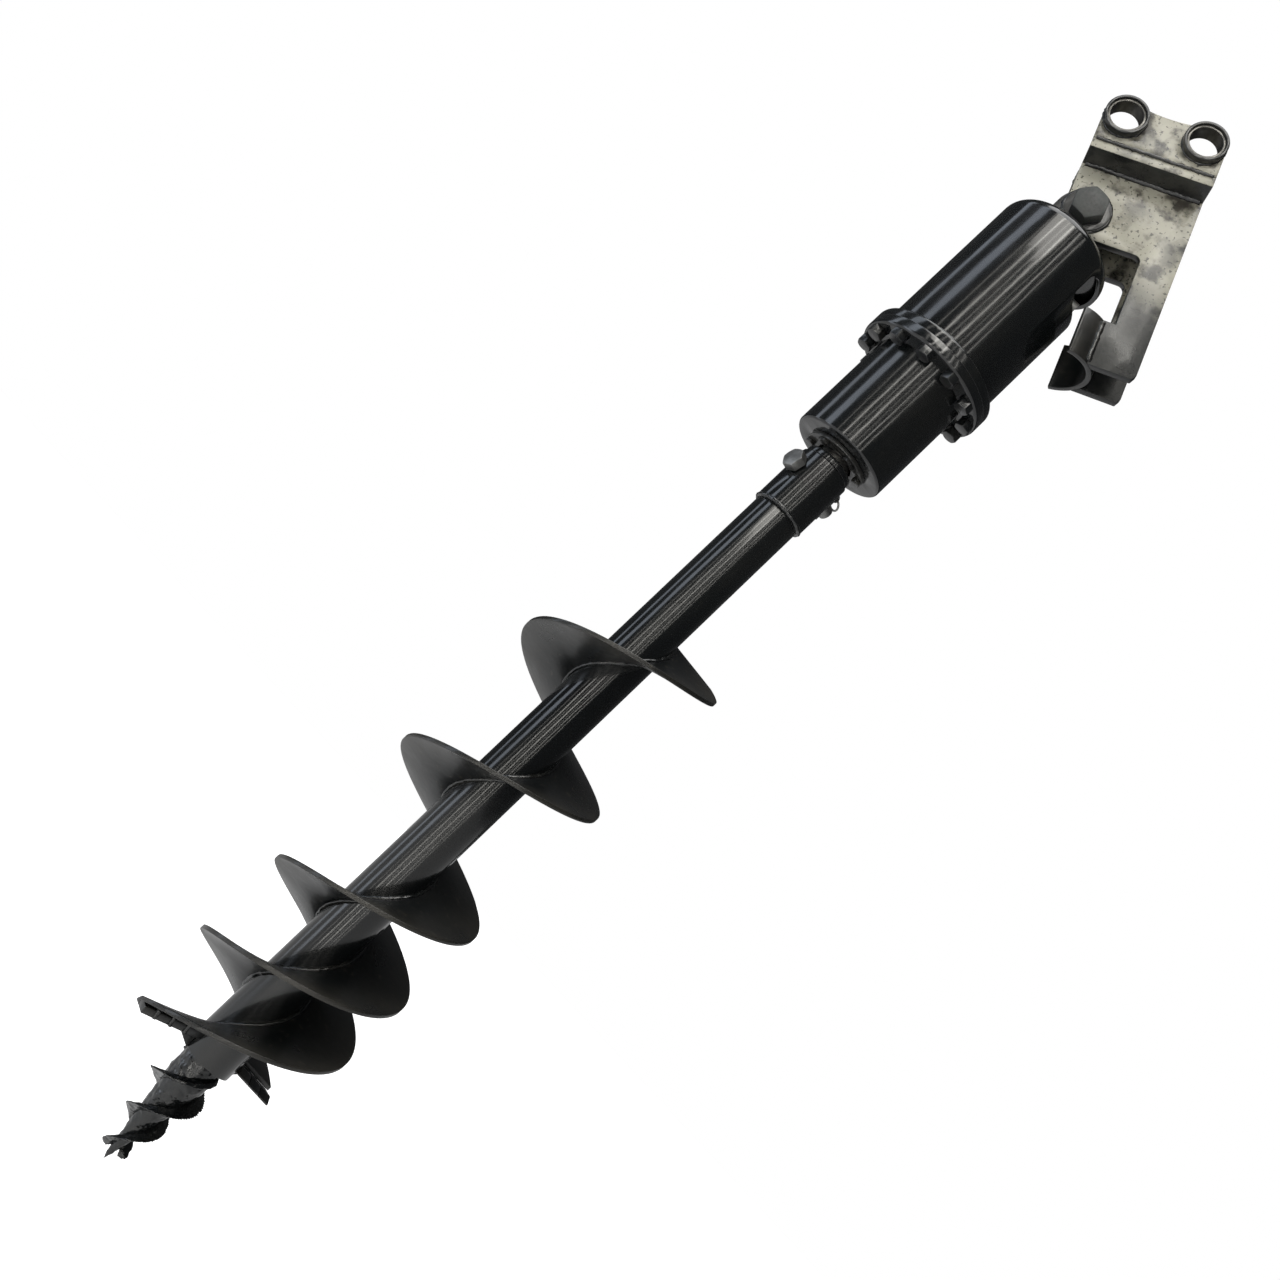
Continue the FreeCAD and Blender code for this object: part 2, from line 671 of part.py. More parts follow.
def planet_gear(number):
    """One planet on its pin, in mesh with the sun and the ring."""
    gear = gear_blank(PLANET_TEETH, 180 / PLANET_TEETH)
    bore = PLANET_PIN + 2 * RUNNING_GAP
    gear = gear.cut(disc(bore, GEAR_WIDTH, Vector(0, 0, GEAR_BASE_Z)))
    turn = math.radians(360 * number / PLANETS)
    gear.translate(Vector(GEAR_CENTRES * math.cos(turn), GEAR_CENTRES * math.sin(turn), 0))
    return gear


def planet_pins():
    foot_z = CARRIER_TOP_Z - CARRIER_THICKNESS + 2.0
    length = GEAR_TOP_Z + GEAR_SIDE_GAP + RETAINER_THICKNESS - foot_z
    pin = disc(PLANET_PIN, length, Vector(GEAR_CENTRES, 0, foot_z))
    return Part.makeCompound(around(pin, PLANETS))


def planet_retainer():
    """Thin ring that keeps the planets on their pins."""
    base = Vector(0, 0, GEAR_TOP_Z + GEAR_SIDE_GAP / 2)
    outer = 2 * GEAR_CENTRES + PLANET_PIN + 8.0
    inner = MODULE * (SUN_TEETH + 4)
    plate = ring(outer, inner, RETAINER_THICKNESS, base)
    hole = disc(PLANET_PIN + 2 * SEAT_GAP, 3 * RETAINER_THICKNESS, base + Vector(GEAR_CENTRES, 0, 0))
    for cutter in around(hole, PLANETS):
        plate = plate.cut(cutter)
    return plate


def output_shaft():
    """Shaft and planet carrier in one forging."""
    carrier_z = CARRIER_TOP_Z - CARRIER_THICKNESS
    shaft_end = HUB_TOP_Z - SHAFT_ENTRY
    journal_end = LOWER_BEARING_Z - BEARING_HEIGHT - 4.0
    carrier = disc(CARRIER_DIAMETER, CARRIER_THICKNESS, Vector(0, 0, carrier_z))
    journal = disc(JOURNAL_DIAMETER, carrier_z - journal_end, Vector(0, 0, journal_end))
    shaft = disc(SHAFT_DIAMETER, journal_end - shaft_end, Vector(0, 0, shaft_end))
    low = [e for e in shaft.Edges if e.BoundBox.ZMax < shaft_end + 0.01]
    shaft = shaft.makeChamfer(3.0, low)
    body = carrier.fuse(journal).fuse(shaft)
    hole_z = carrier_z + 2.0
    hole = disc(PLANET_PIN + 2 * SEAT_GAP, CARRIER_THICKNESS, Vector(GEAR_CENTRES, 0, hole_z))
    for cutter in around(hole, PLANETS):
        body = body.cut(cutter)
    pin_hole = HUB_PIN + 2 * SEAT_GAP
    return body.cut(hub_pin_cutter(pin_hole)).removeSplitter()


def bearing_rings(inner, outer):
    """One pair of bearing races, upper and lower."""
    rings = []
    for top in (UPPER_BEARING_Z, LOWER_BEARING_Z):
        base = Vector(0, 0, top - BEARING_HEIGHT)
        rings.append(ring(outer, inner, BEARING_HEIGHT, base))
    return Part.makeCompound(rings)


def bearing_cups():
    outer = BEARING_OUTER - 2 * SEAT_GAP
    return bearing_rings(outer - 2 * BEARING_RACE, outer)


def bearing_cones():
    inner = JOURNAL_DIAMETER + 2 * SEAT_GAP
    return bearing_rings(inner, inner + 2 * BEARING_RACE)


def bearing_rollers():
    """Two rows of rollers between the races."""
    track_outer = BEARING_OUTER - 2 * BEARING_RACE
    track_inner = JOURNAL_DIAMETER + 2 * BEARING_RACE
    middle = (track_outer + track_inner) / 4
    diameter = (track_outer - track_inner) / 2 - 6 * RUNNING_GAP
    rollers = []
    for top in (UPPER_BEARING_Z, LOWER_BEARING_Z):
        base = Vector(middle, 0, top - BEARING_HEIGHT + 2.0)
        roller = disc(diameter, BEARING_HEIGHT - 4.0, base)
        rollers += around(roller, ROLLERS)
    return Part.makeCompound(rollers)


def shaft_seal():
    """Lip seal in the case's floor."""
    base = Vector(0, 0, CASE_BASE_Z + 2.0)
    outer = SEAL_OUTER - 2 * SEAT_GAP
    inner = SHAFT_DIAMETER + 2 * RUNNING_GAP
    return ring(outer, inner, SEAL_WIDTH, base)


def seal_retainer():
    """Ring screwed under the case that holds the seal in."""
    base = Vector(0, 0, CASE_BASE_Z - RETAINER_PLATE)
    inner = SHAFT_DIAMETER + 8.0
    plate = ring(RETAINER_PLATE_DIAMETER, inner, RETAINER_PLATE - SEAT_GAP, base)
    hole = disc(RETAINER_BOLT + 1.0, RETAINER_PLATE, base + ALONG * (RETAINER_BOLT_CIRCLE / 2))
    for cutter in around(hole, RETAINER_BOLTS):
        plate = plate.cut(cutter)
    return plate


def retainer_bolts():
    under = CASE_BASE_Z - RETAINER_PLATE - SEAT_GAP
    head_base = Vector(RETAINER_BOLT_CIRCLE / 2, 0, under)
    head = chamfered_head(1.6 * RETAINER_BOLT, 0.65 * RETAINER_BOLT, head_base, UP * -1)
    shank = disc(RETAINER_BOLT - 2 * SEAT_GAP, RETAINER_PLATE + CASE_FLOOR - 3.0, head_base)
    return Part.makeCompound(around(head.fuse(shank), RETAINER_BOLTS))


def dust_ring():
    """Collar on the shaft that rides on the hub and shields the seal."""
    base = Vector(0, 0, HUB_TOP_Z + SEAT_GAP)
    return ring(DUST_RING_DIAMETER, SHAFT_DIAMETER + 2 * SEAT_GAP, DUST_RING, base)


# ---------------------------------------------------------------- motor

MOTOR_BASE_Z = SEAM_Z + MOTOR_PLATE
GEROTOR_Z = MOTOR_BASE_Z + MOTOR_FLANGE + MOTOR_HOUSING
PORT_BLOCK_Z = GEROTOR_Z + GEROTOR_HEIGHT


def motor_plate():
    """Plate on the case that carries the motor."""
    outer = HOOD_DIAMETER - 2 * HOOD_WALL - 2 * RUNNING_GAP
    height = MOTOR_PLATE - SEAT_GAP
    inner = MODULE * (SUN_TEETH + 4)
    plate = ring(outer, inner, height, Vector(0, 0, SEAM_Z))
    hole = disc(MOTOR_BOLT, height, Vector(MOTOR_BOLT_CIRCLE / 2, 0, SEAM_Z))
    for cutter in around(hole, 4, 45):
        plate = plate.cut(cutter)
    return plate


def motor_housing():
    """Mounting flange and shaft housing of the motor."""
    base = Vector(0, 0, MOTOR_BASE_Z)
    flange = disc(MOTOR_FLANGE_DIAMETER, MOTOR_FLANGE, base)
    barrel = disc(MOTOR_DIAMETER - 14.0, MOTOR_FLANGE + MOTOR_HOUSING - SEAT_GAP, base)
    body = flange.fuse(barrel)
    bore = MOTOR_SHAFT + 2 * RUNNING_GAP
    body = body.cut(disc(bore, MOTOR_FLANGE + MOTOR_HOUSING, base))
    hole = disc(MOTOR_BOLT + 1.0, MOTOR_FLANGE, base + Vector(MOTOR_BOLT_CIRCLE / 2, 0, 0))
    for cutter in around(hole, 4, 45):
        body = body.cut(cutter)
    return body


def gerotor_ring():
    """Stator ring between the housing and the port block."""
    base = Vector(0, 0, GEROTOR_Z)
    return ring(MOTOR_DIAMETER, MOTOR_DIAMETER * 0.55, GEROTOR_HEIGHT - SEAT_GAP, base)


def port_block():
    """Valve housing with two oil ports that face the window."""
    half = PORT_BLOCK_WIDTH / 2
    base = Vector(-half, -half, PORT_BLOCK_Z)
    block = Part.makeBox(PORT_BLOCK_WIDTH, PORT_BLOCK_WIDTH, PORT_BLOCK_HEIGHT, base)
    upright = [e for e in block.Edges if e.BoundBox.ZLength > 1.0]
    block = block.makeFillet(12.0, upright)
    for side in (-1, 1):
        mouth = port_centre(side)
        block = block.cut(disc(PORT_THREAD, 20.0, mouth, ALONG * -1))
    return faced(block)


def motor_cover():
    base = Vector(0, 0, PORT_BLOCK_Z + PORT_BLOCK_HEIGHT + SEAT_GAP)
    cover = disc(MOTOR_DIAMETER - 14.0, MOTOR_COVER, base)
    top_edge = [e for e in cover.Edges if e.BoundBox.ZMin > base.z + 1.0]
    return cover.makeChamfer(3.0, top_edge)


def motor_bolts():
    top = MOTOR_BASE_Z + MOTOR_FLANGE + SEAT_GAP
    head_base = Vector(MOTOR_BOLT_CIRCLE / 2, 0, top)
    head = chamfered_head(1.5 * MOTOR_BOLT, 0.65 * MOTOR_BOLT, head_base)
    length = MOTOR_FLANGE + MOTOR_PLATE - 2.0
    shank = disc(MOTOR_BOLT - 2 * SEAT_GAP, length, head_base + Vector(0, 0, -length))
    bolt = head.fuse(shank)
    return Part.makeCompound(around(bolt, 4, 45))


def motor_shaft():
    """Shaft from the motor down into the sun gear."""
    length = GEROTOR_Z - SEAT_GAP - GEAR_BASE_Z
    diameter = MOTOR_SHAFT - 2 * SEAT_GAP
    return disc(diameter, length, Vector(0, 0, GEAR_BASE_Z))


def port_centre(side):
    """Mouth of one oil port in the block's face."""
    middle_z = PORT_BLOCK_Z + PORT_BLOCK_HEIGHT / 2
    return Vector(PORT_BLOCK_WIDTH / 2, side * PORT_SPACING / 2, middle_z)


def port_adapters():
    """Two hose nipples that end just inside the hood's window."""
    adapters = []
    corner = math.hypot(PORT_SPACING / 2 + PORT_HEX / 2, 0)
    skin = math.sqrt((HOOD_DIAMETER / 2) ** 2 - corner ** 2)
    for side in (-1, 1):
        mouth = port_centre(side)
        reach = skin - PORT_SETBACK - mouth.x
        face = mouth + ALONG * SEAT_GAP
        thread = disc(PORT_THREAD - 2 * SEAT_GAP, 18.0, face, ALONG * -1)
        nut = chamfered_head(PORT_HEX, 14.0, face, ALONG)
        nipple = disc(PORT_THREAD, reach, face, ALONG)
        adapter = thread.fuse(nut).fuse(nipple)
        bore = disc(PORT_THREAD * 0.6, reach + 20.0, mouth - ALONG * 18.0, ALONG)
        adapters.append(faced(adapter.cut(bore).removeSplitter()))
    return Part.makeCompound(adapters)


# ---------------------------------------------------------------- auger

def helical_plate(inner_radius, outer_radius, bottom, pitch, turns, start, thickness, droop=0.0):
    """A right-hand screw plate; each radius is a function of the height.

    The rim hangs by the droop at the lower end and recovers in a third of a turn.
    """
    steps = max(8, int(round(16 * turns)))
    rails = []
    for radius, lift, hang in (
        (inner_radius, 0.0, 0.0),
        (outer_radius, 0.0, droop),
        (outer_radius, thickness, droop),
        (inner_radius, thickness, 0.0),
    ):
        points = []
        for i in range(steps + 1):
            way = turns * i / steps
            turn = math.radians(start + 360 * way)
            height = bottom + pitch * way
            reach = radius(height)
            fade = max(0.0, 1.0 - 3.0 * way) ** 2
            level = height + lift - hang * fade
            points.append(Vector(reach * math.cos(turn), reach * math.sin(turn), level))
        curve = Part.BSplineCurve()
        curve.interpolate(Points=points, Parameters=[float(i) for i in range(steps + 1)])
        rails.append(curve.toShape())
    faces = []
    for i in range(4):
        faces.append(Part.makeRuledSurface(rails[i], rails[(i + 1) % 4]))
    for end in (0, -1):
        corners = [rail.Vertexes[end].Point for rail in rails]
        corners.append(corners[0])
        faces.append(Part.Face(Part.makePolygon(corners)))
    shell = Part.Compound(faces)
    shell.sewShape(0.001)
    solid = Part.Solid(Part.Shell(shell.Faces))
    if solid.Volume < 0:
        solid.reverse()
    return solid


def auger_flight(turns, start, lift):
    inner = TUBE_DIAMETER / 2 + SEAT_GAP
    outer = AUGER_DIAMETER / 2
    return helical_plate(
        lambda height: inner,
        lambda height: outer,
        TUBE_END_Z + lift,
        FLIGHT_PITCH,
        turns,
        start,
        FLIGHT_THICKNESS,
        END_DROOP,
    )


def cutter_place(angle, lift):
    """Frame of a cutter: +X out along the bar, -Y ahead in the cut."""
    flat = AUGER_DIAMETER / 2 - TUBE_DIAMETER / 2
    slope = FreeCAD.Rotation(ACROSS, math.degrees(math.atan2(END_DROOP, flat)))
    turn = FreeCAD.Rotation(UP, angle)
    base = Vector(0, 0, TUBE_END_Z + lift - SEAT_GAP)
    reach = TUBE_DIAMETER / 2
    tilted = FreeCAD.Placement(Vector(reach, 0, 0), slope)
    return FreeCAD.Placement(base, turn).multiply(tilted)


def cutter_length():
    return math.hypot(AUGER_DIAMETER / 2 - TUBE_DIAMETER / 2, END_DROOP) - CUTTER_RIM_GAP


def tube_cutter():
    """The tube's outside, to trim what is welded against it."""
    below = Vector(0, 0, TUBE_END_Z - TUBE_DIAMETER)
    return disc(TUBE_DIAMETER + 2 * SEAT_GAP, TUBE_LENGTH, below)


def cutter_bar(angle, lift):
    """Bar under a flight's lower end, sloped down towards the rim."""
    root = 12.0
    length = cutter_length() + root
    corner = Vector(-root, -CUTTER_DEPTH / 2, -CUTTER_THICKNESS)
    bar = Part.makeBox(length, CUTTER_DEPTH, CUTTER_THICKNESS, corner)
    bar.Placement = cutter_place(angle, lift)
    return bar.cut(tube_cutter())


def cutter_teeth(angle, lift):
    """Wedge teeth side by side on the bar's leading edge."""
    width = cutter_length() / TEETH_PER_CUTTER
    lead = -CUTTER_DEPTH / 2 - SEAT_GAP
    teeth = []
    for i in range(TEETH_PER_CUTTER):
        outline = [
            Vector(0, lead, 0),
            Vector(0, lead, -CUTTER_THICKNESS),
            Vector(0, lead - TOOTH_LENGTH, -CUTTER_THICKNESS),
            Vector(0, lead - TOOTH_LENGTH, -CUTTER_THICKNESS * 0.75),
            Vector(0, lead - TOOTH_LENGTH * 0.4, 0),
        ]
        outline.append(outline[0])
        tooth = Part.Face(Part.makePolygon(outline)).extrude(ALONG * (width - TOOTH_GAP))
        tooth.translate(ALONG * (i * width + TOOTH_GAP))
        tooth.Placement = cutter_place(angle, lift).multiply(tooth.Placement)
        teeth.append(tooth)
    return Part.makeCompound(teeth)


def cutter_gusset(angle, lift):
    """Triangle between a bar's underside and the tube."""
    under = -CUTTER_THICKNESS - SEAT_GAP
    outline = [
        Vector(-12.0, 0, under),
        Vector(GUSSET_HEIGHT, 0, under),
        Vector(0, 0, under - GUSSET_HEIGHT * 0.8),
        Vector(-12.0, 0, under - GUSSET_HEIGHT * 0.8),
    ]
    outline.append(outline[0])
    face = Part.Face(Part.makePolygon(outline))
    gusset = face.extrude(ACROSS * GUSSET_THICKNESS)
    gusset.translate(ACROSS * (-GUSSET_THICKNESS / 2))
    gusset.Placement = cutter_place(angle, lift).multiply(gusset.Placement)
    return gusset.cut(tube_cutter())


def pilot_socket():
    """Plug welded in the tube's end, bored for the pilot's shank."""
    outer = TUBE_DIAMETER - 2 * TUBE_WALL - 2 * SEAT_GAP
    socket = ring(outer, PILOT_SHANK + 2 * RUNNING_GAP, SOCKET_LENGTH, Vector(0, 0, TUBE_END_Z))
    return socket.cut(pilot_pin_cutter(PILOT_PIN + 2 * SEAT_GAP))


def pilot_pin_cutter(diameter):
    centre = Vector(0, 0, TUBE_END_Z + PILOT_PIN_LIFT)
    reach = TUBE_DIAMETER / 2 + 1.0
    return disc(diameter, 2 * reach, centre - ALONG * reach, ALONG)


def pilot_pin():
    """Roll pin that holds the pilot in its socket."""
    centre = Vector(0, 0, TUBE_END_Z + PILOT_PIN_LIFT)
    reach = TUBE_DIAMETER / 2 - 1.0
    return disc(PILOT_PIN, 2 * reach, centre - ALONG * reach, ALONG)


def pilot_core_radius(height):
    """Radius of the pilot's cone at a height."""
    down = TUBE_END_Z - PILOT_COLLAR - height
    way = min(1.0, max(0.0, down / PILOT_CONE))
    top = PILOT_COLLAR_DIAMETER / 2
    return top + (PILOT_POINT_DIAMETER / 2 - top) * way


def pilot_core():
    """Replaceable pilot: shank, collar, cone and spike."""
    top = TUBE_END_Z - SEAT_GAP
    collar_base = TUBE_END_Z - PILOT_COLLAR
    cone_base = collar_base - PILOT_CONE
    profile = [
        Vector(0, 0, cone_base - PILOT_SPIKE),
        Vector(PILOT_POINT_DIAMETER / 2, 0, cone_base),
        Vector(PILOT_COLLAR_DIAMETER / 2, 0, collar_base),
        Vector(PILOT_COLLAR_DIAMETER / 2, 0, top),
        Vector(PILOT_SHANK / 2, 0, top),
        Vector(PILOT_SHANK / 2, 0, top + PILOT_SHANK_LENGTH),
        Vector(0, 0, top + PILOT_SHANK_LENGTH),
    ]
    profile.append(profile[0])
    body = Part.Face(Part.makePolygon(profile)).revolve(Vector(0, 0, 0), UP, 360)
    return body.cut(pilot_pin_cutter(PILOT_PIN + 2 * SEAT_GAP))


def triangles_between(first, second):
    """Triangles that join two neighbouring sections of a screw plate."""
    faces = []
    for i in range(4):
        a, b = first[i], first[(i + 1) % 4]
        c, d = second[(i + 1) % 4], second[i]
        faces.append(Part.Face(Part.makePolygon([a, b, c, a])))
        faces.append(Part.Face(Part.makePolygon([a, c, d, a])))
    return faces


def pilot_section(way):
    """Four corners of the pilot's flight, at a share of its whole way up."""
    level = TUBE_END_Z - PILOT_COLLAR - PILOT_CONE + 1.0
    level += PILOT_PITCH * PILOT_FLIGHT_TURNS * way
    turn = math.radians(PILOT_FLIGHT_ANGLE + 360 * PILOT_FLIGHT_TURNS * way)
    swell = min(1.0, 0.4 + 2.4 * way, 0.15 + 6.0 * (1.0 - way))
    chord = math.cos(math.pi / PILOT_FLATS)
    corners = []
    for depth, share in ((0.0, 0.0), (1.0, 0.3), (1.0, 0.7), (0.0, 1.0)):
        height = level + share * PILOT_FLIGHT_THICKNESS
        reach = (pilot_core_radius(height) + SEAT_GAP) / chord
        reach += depth * swell * PILOT_FLIGHT_DEPTH
        corners.append(Vector(reach * math.cos(turn), reach * math.sin(turn), height))
    return corners


def pilot_flight():
    """Screw on the pilot, forged in short flats, small at the point."""
    steps = int(PILOT_FLATS * PILOT_FLIGHT_TURNS)
    sections = [pilot_section(i / steps) for i in range(steps + 1)]
    faces = []
    for i in range(steps):
        faces += triangles_between(sections[i], sections[i + 1])
    for section in (sections[0], sections[-1]):
        faces.append(Part.Face(Part.makePolygon(section + section[:1])))
    shell = Part.Compound(faces)
    shell.sewShape(0.001)
    solid = Part.Solid(Part.Shell(shell.Faces))
    if solid.Volume < 0:
        solid.reverse()
    return solid


def hub_pin_axis():
    turn = math.radians(HUB_PIN_ANGLE)
    return Vector(math.cos(turn), math.sin(turn), 0)


def hub_pin_cutter(diameter):
    """Cross hole through hub and shaft."""
    centre = Vector(0, 0, HUB_TOP_Z - HUB_PIN_DROP)
    start = centre - hub_pin_axis() * HUB_DIAMETER
    return disc(diameter, 2 * HUB_DIAMETER, start, hub_pin_axis())


def auger_hub():
    """Socket over the output shaft, with a spigot into the tube."""
    body = disc(HUB_DIAMETER, HUB_LENGTH, Vector(0, 0, TUBE_TOP_Z))
    ends = [e for e in body.Edges if e.BoundBox.ZLength < 0.01]
    body = body.makeChamfer(2.0, ends)
    spigot_diameter = TUBE_DIAMETER - 2 * TUBE_WALL - 2 * SEAT_GAP
    spigot_base = Vector(0, 0, TUBE_TOP_Z - HUB_SPIGOT)
    body = body.fuse(disc(spigot_diameter, HUB_SPIGOT, spigot_base))
    bore = SHAFT_DIAMETER + 2 * RUNNING_GAP
    bore_base = Vector(0, 0, HUB_TOP_Z - HUB_BORE_DEPTH)
    body = body.cut(disc(bore, HUB_BORE_DEPTH, bore_base))
    return body.cut(hub_pin_cutter(HUB_PIN + 2 * SEAT_GAP)).removeSplitter()


def hub_pin():
    """Headed pin that locks the auger to the shaft."""
    axis = hub_pin_axis()
    centre = Vector(0, 0, HUB_TOP_Z - HUB_PIN_DROP)
    skin = HUB_DIAMETER / 2
    head_base = centre + axis * (skin + 1.0)
    head = chamfered_head(HUB_PIN_HEAD_FLATS, HUB_PIN_HEAD, head_base, axis)
    length = 2 * skin + 1.0 + HUB_PIN_TAIL
    shank = disc(HUB_PIN, length, head_base, axis * -1)
    pin = head.fuse(shank)
    hole = LINCH_PIN + 2 * SEAT_GAP
    hole_base = linch_centre() - Vector(0, 0, HUB_PIN)
    return pin.cut(disc(hole, 2 * HUB_PIN, hole_base)).removeSplitter()


def linch_centre():
    """Where the linch pin crosses the hub pin's tail."""
    reach = HUB_DIAMETER / 2 + HUB_PIN_TAIL / 2
    centre = Vector(0, 0, HUB_TOP_Z - HUB_PIN_DROP)
    return centre - hub_pin_axis() * reach


def linch_eye():
    """Middle of the hole that the spring ring passes through."""
    return linch_centre() + UP * (HUB_PIN / 2 + LINCH_PIN + LINCH_EYE / 2)


def linch_pin():
    """Short pin with a flat eye that holds the spring ring."""
    eye = linch_eye()
    base = linch_centre() - UP * (HUB_PIN / 2 + LINCH_PIN)
    shank = disc(LINCH_PIN, eye.z - base.z - LINCH_EYE / 3, base)
    side = hub_pin_axis().cross(UP)
    front = eye - side * (LINCH_EYE_WIDTH / 2)
    plate = disc(LINCH_EYE, LINCH_EYE_WIDTH, front, side)
    hole = disc(2 * LINCH_WIRE, LINCH_EYE_WIDTH, front, side)
    return plate.fuse(shank).cut(hole).removeSplitter()


def linch_ring():
    """Spring wire ring that hangs in the linch pin's eye."""
    out = hub_pin_axis() * -1
    hang = math.radians(LINCH_HANG)
    slope = out * math.cos(hang) - UP * math.sin(hang)
    side = out.cross(UP)
    turn = FreeCAD.Rotation(slope, side, slope.cross(side), "XYZ")
    wire = Part.makeTorus(LINCH_RING / 2, LINCH_WIRE / 2)
    wire.Placement = FreeCAD.Placement(linch_eye() + slope * (LINCH_RING / 2), turn)
    return wire


def auger_tube():
    inner = TUBE_DIAMETER - 2 * TUBE_WALL
    tube = ring(TUBE_DIAMETER, inner, TUBE_LENGTH - SEAT_GAP, Vector(0, 0, TUBE_END_Z))
    return tube.cut(pilot_pin_cutter(PILOT_PIN + 2 * SEAT_GAP))


def hitch_parts():
    save_hitch("deck_plate", deck_plate())
    save_hitch("front_ear_plate", ear_plate(-1))
    save_hitch("rear_ear_plate", ear_plate(1))
    save_hitch("ear_bosses", ear_bosses())
    save_hitch("arm_pin_bushes", ear_bushes(ARM_PIN_X))
    save_hitch("link_pin_bushes", ear_bushes(LINK_PIN_X))
    save_hitch("front_side_plate", side_plate(-1))
    save_hitch("rear_side_plate", side_plate(1))
    save_hitch("hood_rest", hood_rest())
    save_hitch("pivot_pads", pivot_pads())
    save_hitch("pivot_bolt", pivot_bolt())
    save_hitch("pivot_nut", pivot_nut())
    save_hitch("thrust_washers", thrust_washers())


def drive_parts():
    save_drive("pivot_lug", pivot_lug())
    save_drive("lug_bush", lug_bush())
    save_drive("hood", hood())
    save_drive("hood_flange", hood_flange())
    save_drive("gear_case", gear_case())
    save_drive("flange_bolts", flange_bolts())
    save_drive("ring_gear", ring_gear())
    save_drive("bearing_cups", bearing_cups())
    save_drive("bearing_rollers", bearing_rollers())
    save_drive("shaft_seal", shaft_seal())
    save_drive("seal_retainer", seal_retainer())
    save_drive("retainer_bolts", retainer_bolts())
    save_drive("motor_plate", motor_plate())
    save_drive("motor_housing", motor_housing())
    save_drive("gerotor_ring", gerotor_ring())
    save_drive("port_block", port_block())
    save_drive("motor_cover", motor_cover())
    save_drive("motor_bolts", motor_bolts())
    save_drive("port_adapters", port_adapters())


def geared_parts():
    save_drive("motor_shaft", motor_shaft())
    save_drive("sun_gear", sun_gear())
    for number in range(PLANETS):
        save_drive("planet_gear_" + str(number + 1), planet_gear(number))
    save_drive("output_shaft", output_shaft())
    save_drive("planet_pins", planet_pins())
    save_drive("planet_retainer", planet_retainer())
    save_drive("bearing_cones", bearing_cones())
    save_drive("dust_ring", dust_ring())


def auger_parts():
    save_drive("auger_hub", auger_hub())
    save_drive("hub_pin", hub_pin())
    save_drive("linch_pin", linch_pin())
    save_drive("linch_ring", linch_ring())
    save_drive("auger_tube", auger_tube())
    main_end = (MAIN_FLIGHT_ANGLE, MAIN_FLIGHT_LIFT)
    second_end = (SECOND_FLIGHT_ANGLE, SECOND_FLIGHT_LIFT)
    save_drive("main_flight", auger_flight(MAIN_FLIGHT_TURNS, *main_end))
    save_drive("second_flight", auger_flight(SECOND_FLIGHT_TURNS, *second_end))
    save_drive("main_cutter_bar", cutter_bar(*main_end))
    save_drive("second_cutter_bar", cutter_bar(*second_end))
    save_drive("main_teeth", cutter_teeth(*main_end))
    save_drive("second_teeth", cutter_teeth(*second_end))
    gussets = [cutter_gusset(*main_end), cutter_gusset(*second_end)]
    save_drive("cutter_gussets", Part.makeCompound(gussets))
    save_drive("pilot_socket", pilot_socket())
    save_drive("pilot_pin", pilot_pin())
    save_drive("pilot_core", pilot_core())
    save_drive("pilot_flight", pilot_flight())


hitch_parts()
drive_parts()
geared_parts()
auger_parts()
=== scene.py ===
import json
import math

import bpy
from mathutils import Matrix, Vector


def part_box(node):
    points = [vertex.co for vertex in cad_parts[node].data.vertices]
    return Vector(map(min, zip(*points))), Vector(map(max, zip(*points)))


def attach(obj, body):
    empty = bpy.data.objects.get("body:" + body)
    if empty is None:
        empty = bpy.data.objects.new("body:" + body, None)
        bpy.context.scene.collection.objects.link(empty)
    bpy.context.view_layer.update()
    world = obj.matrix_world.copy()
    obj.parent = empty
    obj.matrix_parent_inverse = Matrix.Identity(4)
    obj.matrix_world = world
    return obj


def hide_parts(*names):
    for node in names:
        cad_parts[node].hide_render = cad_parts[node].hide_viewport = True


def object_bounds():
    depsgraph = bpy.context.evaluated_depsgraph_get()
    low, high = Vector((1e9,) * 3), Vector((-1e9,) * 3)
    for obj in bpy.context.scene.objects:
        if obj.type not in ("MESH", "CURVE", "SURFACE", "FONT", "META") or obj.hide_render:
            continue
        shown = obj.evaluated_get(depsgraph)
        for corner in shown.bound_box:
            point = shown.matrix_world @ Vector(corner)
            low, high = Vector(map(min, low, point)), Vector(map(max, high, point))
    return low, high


bl_info = {
    "name": "Earth auger drive",
    "version": (1, 0, 0),
    "blender": (4, 5, 0),
    "location": "View3D > Sidebar > Auger",
    "description": "Dresses an excavator's earth auger drive and sets up its studio",
    "category": "Object",
}

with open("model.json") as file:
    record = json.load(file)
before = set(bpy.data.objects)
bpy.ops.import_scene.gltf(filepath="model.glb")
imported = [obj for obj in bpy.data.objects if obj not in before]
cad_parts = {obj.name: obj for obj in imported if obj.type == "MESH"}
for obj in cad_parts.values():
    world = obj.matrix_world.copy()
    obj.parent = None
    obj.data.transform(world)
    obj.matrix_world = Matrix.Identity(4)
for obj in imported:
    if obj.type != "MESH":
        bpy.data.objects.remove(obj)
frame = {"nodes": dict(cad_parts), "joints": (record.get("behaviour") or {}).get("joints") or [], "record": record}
CAD_BOX = [list(corner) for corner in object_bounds()]


# ---------------------------------------------------------------- frame


def joint_place(name):
    """Point that a joint of the frame turns about."""
    for joint in frame["joints"]:
        if joint["name"] == name:
            return Vector(joint["pos_m"])
    raise ValueError("the frame has no joint " + name)


def mount_place(name):
    """Middle of a mount of the frame."""
    for mount in frame["record"]["mounts"]:
        if mount["name"] == name:
            return Vector(mount["pos_m"])
    raise ValueError("the frame has no mount " + name)


